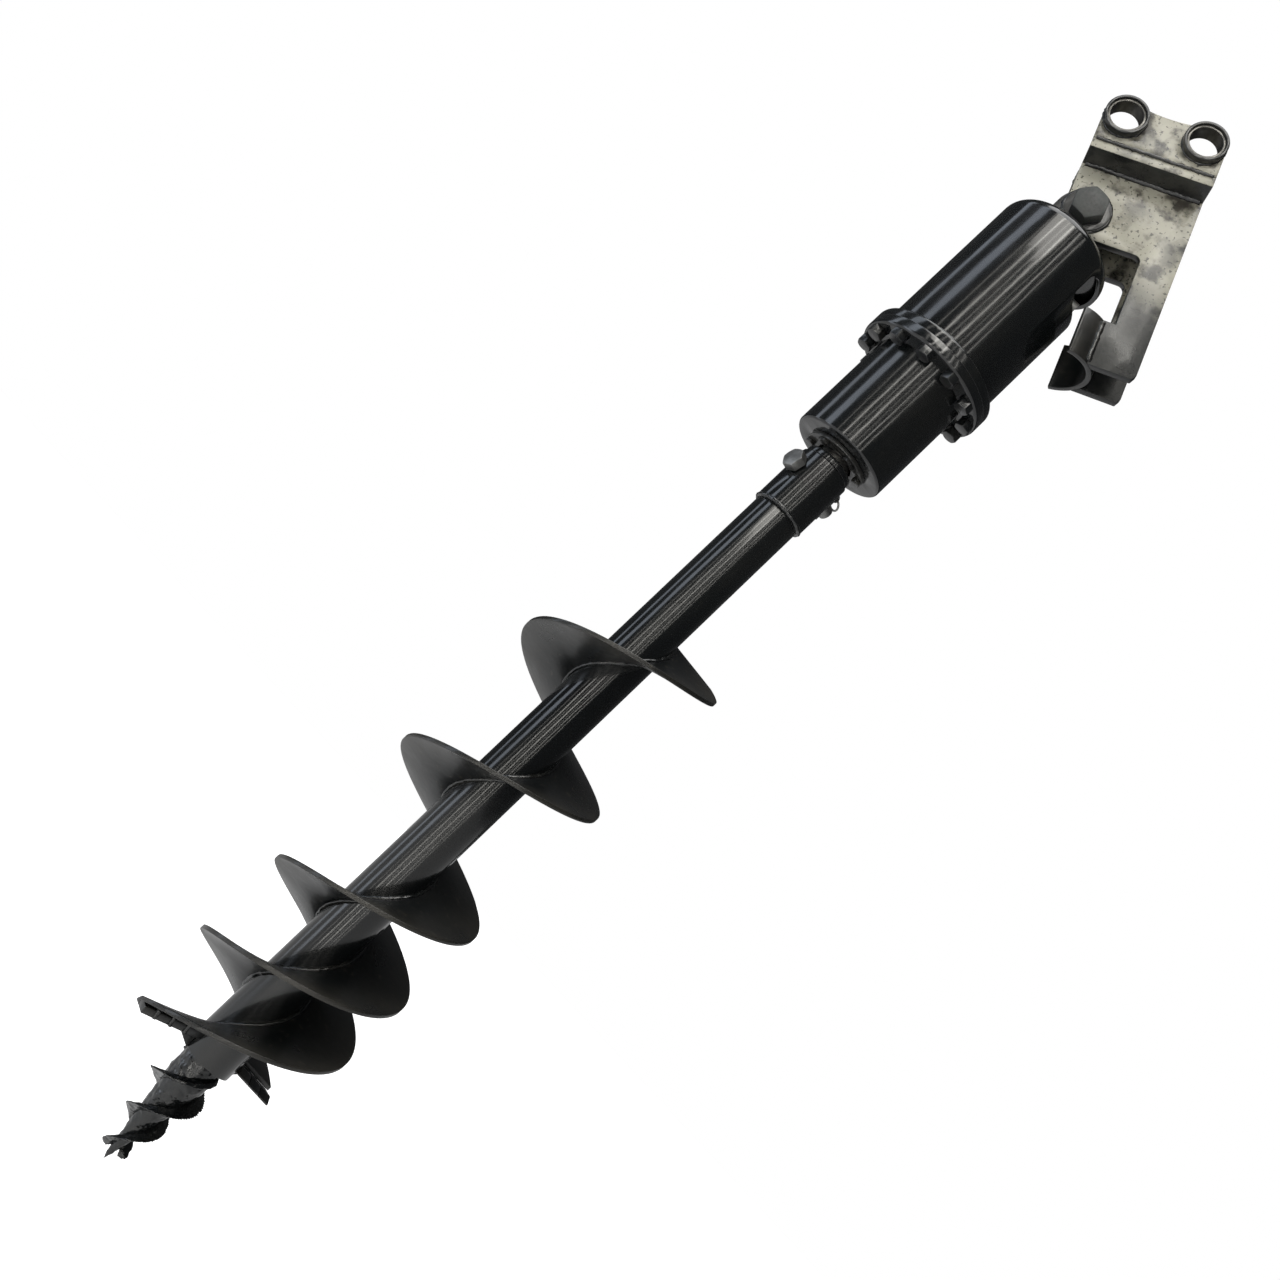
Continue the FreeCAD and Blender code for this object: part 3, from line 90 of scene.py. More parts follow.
PIVOT = joint_place("drive_swing")
PIN_LINE = mount_place("link_pin_bore") - mount_place("arm_pin_bore")
HITCH_LEAN = math.atan2(PIN_LINE.z, PIN_LINE.x)
HITCH_PLACE = Matrix.Translation(PIVOT) @ Matrix.Rotation(-HITCH_LEAN, 4, "Y")
DRIVE_PLACE = Matrix.Translation(PIVOT)
FACING_FRONT = Matrix.Rotation(math.pi / 2, 4, "X")


def box_size(node):
    """Lengths of a part's box along the three axes."""
    low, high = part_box(node)
    return high - low


# ---------------------------------------------------------------- workmanship


PART_MERGE = 0.00002    # corners this close in a part of the frame are one corner
BEAD_MERGE = 0.00001    # and in a bead
FLAT_ANGLE = math.radians(0.5)
BEVEL_ANGLE = math.radians(40)
SMOOTH_ANGLE = math.radians(38)

BEAD_STEP = 0.0025      # length of one face along a bead
BEAD_GRAIN = 0.006      # size of the lumps on a bead
END_GAP = 0.004         # a bead stops this short of the end of its plate
SEAM_OFFSET = 0.0005    # the seam on an ear's face stands this far out
SEAM_SHARE = 0.6        # how thick the thinner beads are beside the full ones
PAD_SHARE = 0.7
BOSS_SHARE = 0.5

CAST_VOXEL = 0.0014     # fineness of a casting's skin
CAST_LUMPS = 0.0024     # height of its lumps
CAST_GRAIN = 0.008      # and their size

RUN_OUT_FOOT = -0.010   # the cone that the pilot's screw is trimmed to, above its foot
RUN_OUT_TOP = 0.150
RUN_OUT_WIDE = 0.099    # its radius at the foot
RUN_OUT_NARROW = 0.027  # and at the top

TOOTH_SEATS = 4         # on each bar, parted by short beads
SEAT_BACK = 0.0105      # from the bar's middle back to a bead
SEAT_LOW = -0.0095      # its lower end
SEAT_HIGH = 0.0035      # its upper end

FLOOR_SIZE = 60.0
STRIP_LENGTH = 5.2
STRIP_REACH = 3.0       # from the middle of the view to a strip of light
STRIP_RISE = 11.0       # degrees


# ---------------------------------------------------------------- settings


class AugerPaint(bpy.types.PropertyGroup):
    """Colours of the paint and of what lies on it."""

    enamel: bpy.props.FloatVectorProperty(
        name="Enamel", description="Gloss black of the steelwork",
        default=(0.005, 0.006, 0.0065), min=0.0, max=1.0, size=3, subtype="COLOR",
    )
    dust: bpy.props.FloatVectorProperty(
        name="Dust", description="Dry film of soil and overspray on the enamel",
        default=(0.050, 0.045, 0.036), min=0.0, max=1.0, size=3, subtype="COLOR",
    )
    # Pale colour for the hitch's plates: a dusty film that also stands in for a painted reflection of bright
    # light.
    chalk_and_painted_sheen: bpy.props.FloatVectorProperty(
        name="Chalk", description="Pale bloom on the flat plates of the hitch",
        default=(0.37, 0.355, 0.29), min=0.0, max=1.0, size=3, subtype="COLOR",
    )
    steel: bpy.props.FloatVectorProperty(
        name="Steel", description="Machined bushes and shafts",
        default=(0.16, 0.155, 0.145), min=0.0, max=1.0, size=3, subtype="COLOR",
    )
    zinc: bpy.props.FloatVectorProperty(
        name="Zinc", description="Plated bolts, pins and hose nipples",
        default=(0.34, 0.34, 0.33), min=0.0, max=1.0, size=3, subtype="COLOR",
    )


class AugerWelds(bpy.types.PropertyGroup):
    """Sizes of the weld beads."""

    flight_bead: bpy.props.FloatProperty(
        name="Flight bead", description="Radius of the bead along a flight's root",
        default=0.0042, min=0.001, max=0.01, unit="LENGTH",
    )
    plate_bead: bpy.props.FloatProperty(
        name="Plate bead", description="Radius of the beads on the hitch and the cutters",
        default=0.0045, min=0.001, max=0.01, unit="LENGTH",
    )
    hub_bead: bpy.props.FloatProperty(
        name="Hub bead", description="Radius of the bead between hub and tube",
        default=0.0035, min=0.001, max=0.01, unit="LENGTH",
    )
    seat_bead: bpy.props.FloatProperty(
        name="Seat bead", description="Radius of the beads between the tooth seats",
        default=0.0028, min=0.001, max=0.01, unit="LENGTH",
    )
    lumps: bpy.props.FloatProperty(
        name="Lumps", description="Height of the lumps on a bead",
        default=0.0032, min=0.0, max=0.01, unit="LENGTH",
    )
    edge_round: bpy.props.FloatProperty(
        name="Edge rounding", description="Rounding of the painted edges",
        default=0.0009, min=0.0, max=0.005, unit="LENGTH",
    )


class HitchSizes(bpy.types.PropertyGroup):
    """Sizes of the hitch from its pivot, as the beads need them."""

    left: bpy.props.FloatProperty(
        name="Left end", description="From the pivot to the hitch's left end",
        default=-0.0305, unit="LENGTH",
    )
    right: bpy.props.FloatProperty(
        name="Right end", description="From the pivot to the hitch's right end",
        default=0.1425, unit="LENGTH",
    )
    deck_bottom: bpy.props.FloatProperty(
        name="Deck underside", description="Height of the deck's underside",
        default=0.0715, unit="LENGTH",
    )
    deck: bpy.props.FloatProperty(
        name="Deck thickness", description="Thickness of the deck", default=0.015, unit="LENGTH",
    )
    ear_outer: bpy.props.FloatProperty(
        name="Ear face", description="From the middle to an ear's outer face",
        default=0.080, unit="LENGTH",
    )
    ear_inner: bpy.props.FloatProperty(
        name="Ear inside", description="From the middle to an ear's inner face",
        default=0.064, unit="LENGTH",
    )
    plate_outer: bpy.props.FloatProperty(
        name="Side plate face", description="From the middle to a side plate's outer face",
        default=0.0415, unit="LENGTH",
    )
    leg_end: bpy.props.FloatProperty(
        name="Leg's end", description="Depth of the leg's end below the pivot",
        default=-0.2195, unit="LENGTH",
    )
    rest_length: bpy.props.FloatProperty(
        name="Rest", description="Length of the hood rest", default=0.070, unit="LENGTH",
    )
    rest_axis: bpy.props.FloatProperty(
        name="Rest's axis", description="From the pivot to the rest's axis",
        default=0.031, unit="LENGTH",
    )
    rest_radius: bpy.props.FloatProperty(
        name="Rest radius", description="Outer radius of the hood rest",
        default=0.061, unit="LENGTH",
    )
    pad_radius: bpy.props.FloatProperty(
        name="Pad radius", description="Radius of the bead round a pivot pad",
        default=0.033, unit="LENGTH",
    )
    boss_radius: bpy.props.FloatProperty(
        name="Boss radius", description="Radius of the bead round an ear's boss",
        default=0.0293, unit="LENGTH",
    )
    boss_height: bpy.props.FloatProperty(
        name="Boss height", description="From the pivot up to the bosses",
        default=0.129, unit="LENGTH",
    )


class AugerScrew(bpy.types.PropertyGroup):
    """Run of the two flights on the tube."""

    pitch: bpy.props.FloatProperty(
        name="Pitch", description="Rise in one turn", default=0.215, unit="LENGTH",
    )
    thickness: bpy.props.FloatProperty(
        name="Thickness", description="Thickness of a flight", default=0.006, unit="LENGTH",
    )
    main_turns: bpy.props.FloatProperty(
        name="Main turns", description="Turns of the long flight", default=3.49,
    )
    main_start: bpy.props.FloatProperty(
        name="Main start", description="Direction of the long flight's lower end",
        default=math.radians(224), subtype="ANGLE",
    )
    main_lift: bpy.props.FloatProperty(
        name="Main lift", description="Its lower end above the tube's end",
        default=0.025, unit="LENGTH",
    )
    droop: bpy.props.FloatProperty(
        name="Droop", description="Hang of a flight's rim at its cutter",
        default=0.017, unit="LENGTH",
    )
    second_turns: bpy.props.FloatProperty(
        name="Second turns", description="Turns of the short flight", default=1.08,
    )
    second_start: bpy.props.FloatProperty(
        name="Second start", description="Direction of the short flight's lower end",
        default=math.radians(60), subtype="ANGLE",
    )
    second_lift: bpy.props.FloatProperty(
        name="Second lift", description="Its lower end above the tube's end",
        default=0.020, unit="LENGTH",
    )


class PilotScrew(bpy.types.PropertyGroup):
    """Double screw of the pilot, widening up its cone."""

    lead: bpy.props.FloatProperty(
        name="Lead", description="Rise of one start in a turn", default=0.097, unit="LENGTH",
    )
    turns: bpy.props.FloatProperty(
        name="Turns", description="Turns of each start", default=1.46,
    )
    start: bpy.props.FloatProperty(
        name="Start", description="Direction of the first start's lower end",
        default=math.radians(195), subtype="ANGLE",
    )
    low_radius: bpy.props.FloatProperty(
        name="Lower radius", description="Rim radius at the foot of the cone",
        default=0.0200, unit="LENGTH",
    )
    root_radius: bpy.props.FloatProperty(
        name="Root radius", description="Buried radius at the foot of the cone",
        default=0.0035, unit="LENGTH",
    )
    widening: bpy.props.FloatProperty(
        name="Widening", description="Gain of the rim radius for each metre up", default=0.243,
    )
    thickness: bpy.props.FloatProperty(
        name="Thickness", description="Thickness of a start halfway out",
        default=0.0095, unit="LENGTH",
    )
    cone: bpy.props.FloatProperty(
        name="Cone", description="From the pilot's point up to the foot of the screw",
        default=0.016, unit="LENGTH",
    )


class AugerStudio(bpy.types.PropertyGroup):
    """Camera, floor and lights."""

    distance: bpy.props.FloatProperty(
        name="Distance", description="From the camera to what it looks at",
        default=1.8018, unit="LENGTH",
    )
    azimuth: bpy.props.FloatProperty(
        name="Azimuth", description="Direction in which the camera stands",
        default=math.radians(-77.1), subtype="ANGLE",
    )
    elevation: bpy.props.FloatProperty(
        name="Elevation", description="Height of the camera over what it looks at",
        default=math.radians(-9.11), subtype="ANGLE",
    )
    roll: bpy.props.FloatProperty(
        name="Roll", description="Turn of the camera about its view",
        default=math.radians(-46.38), subtype="ANGLE",
    )
    lens: bpy.props.FloatProperty(
        name="Lens", description="Focal length in millimetres on a 36 mm sensor", default=38.62,
    )
    target: bpy.props.FloatVectorProperty(
        name="Target", description="Point in the middle of the view",
        default=(0.0423, -0.0026, -0.9812), size=3, subtype="TRANSLATION", unit="LENGTH",
    )
    floor_drop: bpy.props.FloatProperty(
        name="Floor drop", description="Floor below the pilot's point",
        default=1.20, unit="LENGTH",
    )


# ---------------------------------------------------------------- finishes


def new_material(name):
    """An empty node material with a shader, and its pattern coordinates."""
    material = bpy.data.materials.new(name)
    material.use_nodes = True
    tree = material.node_tree
    shader = tree.nodes["Principled BSDF"]
    place = tree.nodes.new("ShaderNodeTexCoord")
    return material, tree, shader, place.outputs["Object"]


def noise(tree, place, scale, detail=4.0, stretch=(1.0, 1.0, 1.0)):
    """Cloudy pattern, drawn out along an axis where stretch is under one."""
    mapping = tree.nodes.new("ShaderNodeMapping")
    mapping.inputs["Scale"].default_value = stretch
    pattern = tree.nodes.new("ShaderNodeTexNoise")
    pattern.inputs["Scale"].default_value = scale
    pattern.inputs["Detail"].default_value = detail
    tree.links.new(place, mapping.inputs["Vector"])
    tree.links.new(mapping.outputs["Vector"], pattern.inputs["Vector"])
    return pattern.outputs["Fac"]


def ramp(tree, value, low, high, floor=0.0, ceiling=1.0):
    """Stretch a pattern so that low becomes floor and high becomes ceiling."""
    spread = tree.nodes.new("ShaderNodeMapRange")
    spread.interpolation_type = "SMOOTHSTEP"
    spread.inputs["From Min"].default_value = low
    spread.inputs["From Max"].default_value = high
    spread.inputs["To Min"].default_value = floor
    spread.inputs["To Max"].default_value = ceiling
    tree.links.new(value, spread.inputs["Value"])
    return spread.outputs["Result"]


def times(tree, first, second):
    """Product of two patterns."""
    product = tree.nodes.new("ShaderNodeMath")
    product.operation = "MULTIPLY"
    tree.links.new(first, product.inputs[0])
    tree.links.new(second, product.inputs[1])
    return product.outputs["Value"]


def mix_colours(tree, share, base, over):
    """Lay one colour over another where share is high."""
    mix = tree.nodes.new("ShaderNodeMix")
    mix.data_type = "RGBA"
    tree.links.new(share, mix.inputs["Factor"])
    for socket, colour in ((mix.inputs["A"], base), (mix.inputs["B"], over)):
        if hasattr(colour, "links"):
            tree.links.new(colour, socket)
        else:
            socket.default_value = (*colour, 1.0)
    return mix.outputs["Result"]


def bump(tree, shader, layers):
    """Bump from several patterns, each with its height in metres."""
    below = None
    for pattern, height in layers:
        node = tree.nodes.new("ShaderNodeBump")
        node.inputs["Distance"].default_value = height
        tree.links.new(pattern, node.inputs["Height"])
        if below:
            tree.links.new(below, node.inputs["Normal"])
        below = node.outputs["Normal"]
    tree.links.new(below, shader.inputs["Normal"])


def enamel(name, gloss, dust, peel, waves, stretch=(1.0, 1.0, 1.0)):
    """Sprayed gloss black, with dust in clouds, orange peel and slow waves."""
    paint = bpy.context.scene.auger_paint
    material, tree, shader, place = new_material(name)
    clouds = noise(tree, place, 14.0, 6.0, stretch)
    specks = noise(tree, place, 160.0, 3.0)
    film = ramp(tree, clouds, 0.42, 0.72, 0.0, dust)
    grit = ramp(tree, specks, 0.58, 0.75, 0.0, 0.6 * dust)
    dusty = mix_colours(tree, film, paint.enamel, paint.dust)
    colour = mix_colours(tree, grit, dusty, paint.dust)
    tree.links.new(colour, shader.inputs["Base Color"])
    rough = ramp(tree, clouds, 0.30, 0.75, gloss, gloss + 0.12)
    tree.links.new(rough, shader.inputs["Roughness"])
    shader.inputs["Specular IOR Level"].default_value = 0.55
    shader.inputs["Coat Weight"].default_value = 0.35
    shader.inputs["Coat Roughness"].default_value = 0.06
    fine = noise(tree, place, 420.0, 2.0)
    slow = noise(tree, place, 38.0, 2.0, stretch)
    bump(tree, shader, ((fine, peel), (slow, waves)))
    return material


def flight_enamel():
    """Black paint on the flights, scuffed brown-grey towards the rim."""
    paint = bpy.context.scene.auger_paint
    material, tree, shader, place = new_material("flight_enamel")
    centre = tree.nodes.new("ShaderNodeVectorMath")
    centre.operation = "SUBTRACT"
    centre.inputs[1].default_value = (PIVOT.x, 0.0, 0.0)
    flat = tree.nodes.new("ShaderNodeVectorMath")
    flat.operation = "MULTIPLY"
    flat.inputs[1].default_value = (1.0, 1.0, 0.0)
    reach = tree.nodes.new("ShaderNodeVectorMath")
    reach.operation = "LENGTH"
    tree.links.new(place, centre.inputs[0])
    tree.links.new(centre.outputs["Vector"], flat.inputs[0])
    tree.links.new(flat.outputs["Vector"], reach.inputs[0])
    rim = ramp(tree, reach.outputs["Value"], 0.055, 0.130, 0.02, 0.55)
    clouds = noise(tree, place, 11.0, 5.0)
    specks = noise(tree, place, 130.0, 3.0)
    film = times(tree, rim, ramp(tree, clouds, 0.25, 0.70, 0.25, 1.0))
    dusty = mix_colours(tree, film, paint.enamel, paint.dust)
    colour = mix_colours(tree, ramp(tree, specks, 0.60, 0.74, 0.0, 0.5), dusty, paint.dust)
    tree.links.new(colour, shader.inputs["Base Color"])
    tree.links.new(ramp(tree, clouds, 0.3, 0.7, 0.26, 0.42), shader.inputs["Roughness"])
    shader.inputs["Coat Weight"].default_value = 0.12
    shader.inputs["Coat Roughness"].default_value = 0.12
    slow = noise(tree, place, 30.0, 2.0)
    fine = noise(tree, place, 380.0, 2.0)
    bump(tree, shader, ((fine, 0.00006), (slow, 0.0008)))
    return material


def plate_enamel():
    """Paint of the hitch: a pale film above, partly dust and partly a painted reflection, kept off downward faces
    as painted shade, with specks and brown stains.
    """
    paint = bpy.context.scene.auger_paint
    material, tree, shader, place = new_material("plate_enamel")
    parts = tree.nodes.new("ShaderNodeSeparateXYZ")
    tree.links.new(place, parts.inputs["Vector"])
    # Painted reflection with some dust film: the pale colour is strongest high on the plates and fades down the
    # leg.
    height = ramp(tree, parts.outputs["Z"], -0.205, -0.115, 0.02, 1.0)
    geometry = tree.nodes.new("ShaderNodeNewGeometry")
    facing = tree.nodes.new("ShaderNodeSeparateXYZ")
    tree.links.new(geometry.outputs["Normal"], facing.inputs["Vector"])
    # Painted shade: faces that look down keep almost none of the pale colour and stay dark.
    height = times(tree, height, ramp(tree, facing.outputs["Z"], -0.7, -0.3, 0.04, 1.0))
    clouds = noise(tree, place, 20.0, 6.0)
    stains = noise(tree, place, 34.0, 5.0)
    specks = noise(tree, place, 190.0, 4.0)
    cover = times(tree, height, ramp(tree, clouds, 0.32, 0.52, 0.40, 1.0))
    # Pale colour mixed with brown stains; besides dust it stands in for a painted sheen of reflected light.
    painted_sheen_and_bloom = mix_colours(tree, ramp(tree, stains, 0.50, 0.66), paint.chalk_and_painted_sheen, paint.dust)
    clear = ramp(tree, specks, 0.34, 0.42, 0.20, 1.0)
    colour = mix_colours(tree, times(tree, cover, clear), paint.enamel, painted_sheen_and_bloom)
    tree.links.new(colour, shader.inputs["Base Color"])
    tree.links.new(ramp(tree, clouds, 0.3, 0.7, 0.22, 0.40), shader.inputs["Roughness"])
    shader.inputs["Coat Weight"].default_value = 0.12
    shader.inputs["Coat Roughness"].default_value = 0.15
    slow = noise(tree, place, 60.0, 3.0)
    fine = noise(tree, place, 420.0, 2.0)
    bump(tree, shader, ((fine, 0.00008), (slow, 0.0006)))
    return material


def bare_metal(name, colour, rough, grain):
    """Turned or plated metal with a fine grain and a breath of oil."""
    material, tree, shader, place = new_material(name)
    clouds = noise(tree, place, 40.0, 5.0)
    lines = noise(tree, place, grain, 3.0, (1.0, 1.0, 8.0))
    dark = tuple(0.45 * channel for channel in colour)
    shade = mix_colours(tree, ramp(tree, clouds, 0.4, 0.7), colour, dark)
    tree.links.new(shade, shader.inputs["Base Color"])
    tree.links.new(ramp(tree, clouds, 0.3, 0.7, rough, rough + 0.2), shader.inputs["Roughness"])
    shader.inputs["Metallic"].default_value = 1.0
    bump(tree, shader, ((lines, 0.00005),))
    return material


def casting():
    """Painted grey iron with the skin of a sand casting."""
    material, tree, shader, place = new_material("sand_casting")
    skin = noise(tree, place, 300.0, 4.0)
    clouds = noise(tree, place, 25.0, 4.0)
    colour = mix_colours(tree, ramp(tree, clouds, 0.4, 0.7), (0.045, 0.050, 0.047), (0.030, 0.030, 0.029))
    tree.links.new(colour, shader.inputs["Base Color"])
    tree.links.new(ramp(tree, skin, 0.3, 0.7, 0.45, 0.65), shader.inputs["Roughness"])
    bump(tree, shader, ((skin, 0.0003),))
    return material


def seal_rubber():
    """Matt black rubber."""
    material, tree, shader, place = new_material("seal_rubber")
    skin = noise(tree, place, 500.0, 3.0)
    colour = mix_colours(tree, ramp(tree, skin, 0.4, 0.6), (0.02, 0.02, 0.02), (0.035, 0.034, 0.033))
    tree.links.new(colour, shader.inputs["Base Color"])
    shader.inputs["Roughness"].default_value = 0.7
    bump(tree, shader, ((skin, 0.0001),))
    return material


class AUGER_OT_finishes(bpy.types.Operator):
    """Mix the paints and metals and put them on the frame's parts"""

    bl_idname = "auger.finishes"
    bl_label = "Finishes"

    def execute(self, context):
        paint = context.scene.auger_paint
        enamel("tube_enamel", gloss=0.12, dust=0.12, peel=0.00001, waves=0.0006, stretch=(1.0, 1.0, 0.25))
        enamel("hood_enamel", gloss=0.12, dust=0.12, peel=0.00001, waves=0.0005, stretch=(1.0, 1.0, 0.3))
        enamel("fitting_enamel", gloss=0.26, dust=0.35, peel=0.00008, waves=0.0008)
        enamel("pilot_enamel", gloss=0.14, dust=0.18, peel=0.00010, waves=0.0030)
        enamel("weld_enamel", gloss=0.14, dust=0.25, peel=0.00020, waves=0.0030)
        flight_enamel()
        plate_enamel()
        bare_metal("turned_steel", paint.steel, rough=0.32, grain=300.0)
        bare_metal("zinc_plate", paint.zinc, rough=0.38, grain=200.0)
        casting()
        seal_rubber()
        looks = {
            "black_paint": "fitting_enamel",
            "machined_steel": "turned_steel",
            "plated_steel": "zinc_plate",
            "cast_iron": "sand_casting",
            "seal_rubber": "seal_rubber",
        }
        for part in frame["record"]["subparts"]:
            node = frame["nodes"][part["node"]]
            node.data.materials.clear()
            node.data.materials.append(bpy.data.materials[looks[part["material_slot"]]])
        return {"FINISHED"}


# ---------------------------------------------------------------- modelling


def only(obj):
    """Select one object and nothing else."""
    bpy.ops.object.select_all(action="DESELECT")
    obj.select_set(True)
    bpy.context.view_layer.objects.active = obj


def settle(obj, place=None):
    """Put a piece's place into its mesh."""
    if place is not None:
        obj.matrix_world = place @ obj.matrix_world
    only(obj)
    bpy.ops.object.transform_apply(location=True, rotation=True, scale=True)


def apply_modifiers(obj):
    """Make a piece's modifiers part of its mesh."""
    only(obj)
    for modifier in list(obj.modifiers):
        bpy.ops.object.modifier_apply(modifier=modifier.name)


def close_ends():
    """Cap the open ends of what is being edited and turn its faces outwards."""
    bpy.ops.mesh.fill_holes(sides=0)
    bpy.ops.mesh.select_all(action="SELECT")
    bpy.ops.mesh.normals_make_consistent(inside=False)


def wind(obj, turns, rise, steps):
    """Draw an outline up along a helix, or straight up where turns is zero."""
    helix = obj.modifiers.new("wind", "SCREW")
    helix.angle = 2 * math.pi * turns
    helix.screw_offset = rise
    helix.steps = steps
    helix.render_steps = steps
    apply_modifiers(obj)


def hand_over(obj, body, material):
    """Finish a piece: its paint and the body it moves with."""
    obj.data.materials.clear()
    obj.data.materials.append(bpy.data.materials[material])
    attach(obj, body)


def part_facts(node):
    """The body and the material slot of a node of the frame."""
    bodies = frame["record"]["behaviour"]["bodies"]
    body = next(name for name, nodes in bodies.items() if node in nodes)
    subparts = frame["record"]["subparts"]
    slot = next(part["material_slot"] for part in subparts if part["node"] == node)
    return body, slot


def finished_copy(node, material, rounding, flats=True):
    """A copy of a part of the frame with joined faces and soft edges."""
    source = frame["nodes"][node]
    piece = source.copy()
    piece.data = source.data.copy()
    piece.parent = None
    for key in list(piece.keys()):
        del piece[key]
    piece.name = node + "_finished"
    bpy.context.scene.collection.objects.link(piece)
    only(piece)
    bpy.ops.object.mode_set(mode="EDIT")
    bpy.ops.mesh.select_all(action="SELECT")
    bpy.ops.mesh.remove_doubles(threshold=PART_MERGE)
    if flats:
        bpy.ops.mesh.dissolve_limited(angle_limit=FLAT_ANGLE)
    bpy.ops.object.mode_set(mode="OBJECT")
    if rounding > 0.0:
        bevel = piece.modifiers.new("soft_edges", "BEVEL")
        bevel.width = rounding
        bevel.segments = 2
        bevel.limit_method = "ANGLE"
        bevel.angle_limit = BEVEL_ANGLE
        apply_modifiers(piece)
    only(piece)
    bpy.ops.object.shade_smooth_by_angle(angle=SMOOTH_ANGLE)
    body, slot = part_facts(node)
    hand_over(piece, body, material)
    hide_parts(node)
    return piece


def lumpy(piece, height, grain):
    """Raise lumps of one height and size on a piece."""
    clouds = bpy.data.textures.new(piece.name + "_lumps", "CLOUDS")
    clouds.noise_scale = grain
    clouds.noise_depth = 2
    displace = piece.modifiers.new("lumps", "DISPLACE")
    displace.texture = clouds
    displace.texture_coords = "LOCAL"
    displace.strength = height
    displace.mid_level = 0.5
    apply_modifiers(piece)


def finish_bead(bead, body, place):
    """Close a bead's ends, make it lumpy and paint it."""
    welds = bpy.context.scene.auger_welds
    settle(bead, place)
    bpy.ops.object.mode_set(mode="EDIT")
    bpy.ops.mesh.select_all(action="SELECT")
    bpy.ops.mesh.remove_doubles(threshold=BEAD_MERGE)
    close_ends()
    bpy.ops.object.mode_set(mode="OBJECT")
    lumpy(bead, welds.lumps, BEAD_GRAIN)
    only(bead)
    bpy.ops.object.shade_smooth()
    hand_over(bead, body, "weld_enamel")


def ring_bead(name, radius, thick, centre, body, place, across=False):
    """A bead that runs round a pipe, a boss or a pad."""
    bpy.ops.object.select_all(action="DESELECT")
    bpy.ops.mesh.primitive_torus_add(
        major_segments=max(48, int(2 * math.pi * radius / BEAD_STEP)),
        minor_segments=10,
        major_radius=radius,
        minor_radius=thick,
    )
    bead = bpy.context.active_object
    bead.name = name
    if across:
        bead.matrix_world = FACING_FRONT @ bead.matrix_world
    bead.matrix_world = Matrix.Translation(Vector(centre)) @ bead.matrix_world
    finish_bead(bead, body, place)
    return bead


def straight_bead(name, start, end, thick, body, place):
    """A bead that runs straight between two points."""
    start, end = Vector(start), Vector(end)
    run = end - start
    bpy.ops.object.select_all(action="DESELECT")
    bpy.ops.mesh.primitive_circle_add(vertices=10, radius=thick, fill_type="NOTHING")
    bead = bpy.context.active_object
    bead.name = name
    wind(bead, 0.0, run.length, max(4, int(run.length / BEAD_STEP)))
    turn = run.to_track_quat("Z", "Y").to_matrix().to_4x4()
    bead.matrix_world = Matrix.Translation(start) @ turn
    finish_bead(bead, body, place)
    return bead


def screw_bead(name, start, bottom, turns, reach, thick):
    """A bead along a flight's root."""
    screw = bpy.context.scene.auger_screw
    bpy.ops.object.select_all(action="DESELECT")
    bpy.ops.mesh.primitive_circle_add(
        vertices=8, radius=thick, fill_type="NOTHING",
        location=(reach, 0.0, 0.0), rotation=(math.pi / 2, 0.0, 0.0),
    )
    bead = bpy.context.active_object
    bead.name = name
    settle(bead)
    wind(bead, turns, screw.pitch * turns, int(96 * turns))
    bead.matrix_world = Matrix.Translation((0.0, 0.0, bottom)) @ Matrix.Rotation(start, 4, "Z")
    finish_bead(bead, "auger", Matrix.Translation((PIVOT.x, 0.0, 0.0)))
    return bead


# ---------------------------------------------------------------- pieces


class AUGER_OT_hitch(bpy.types.Operator):
    """Finish the plates, bosses and pivot of the hitch"""

    bl_idname = "auger.hitch"
    bl_label = "Hitch"

    def execute(self, context):
        soft = context.scene.auger_welds.edge_round
        ears = ("front_ear_plate", "rear_ear_plate")
        side_plates = ("front_side_plate", "rear_side_plate")
        for node in ("deck_plate", *ears, *side_plates):
            finished_copy(node, "plate_enamel", soft)
        finished_copy("pivot_bolt", "sand_casting", soft)
        for node in ("ear_bosses", "hood_rest", "pivot_pads"):
            finished_copy(node, "fitting_enamel", soft)
        for node in ("arm_pin_bushes", "link_pin_bushes"):
            finished_copy(node, "turned_steel", soft)
        finished_copy("pivot_nut", "zinc_plate", soft)
        return {"FINISHED"}


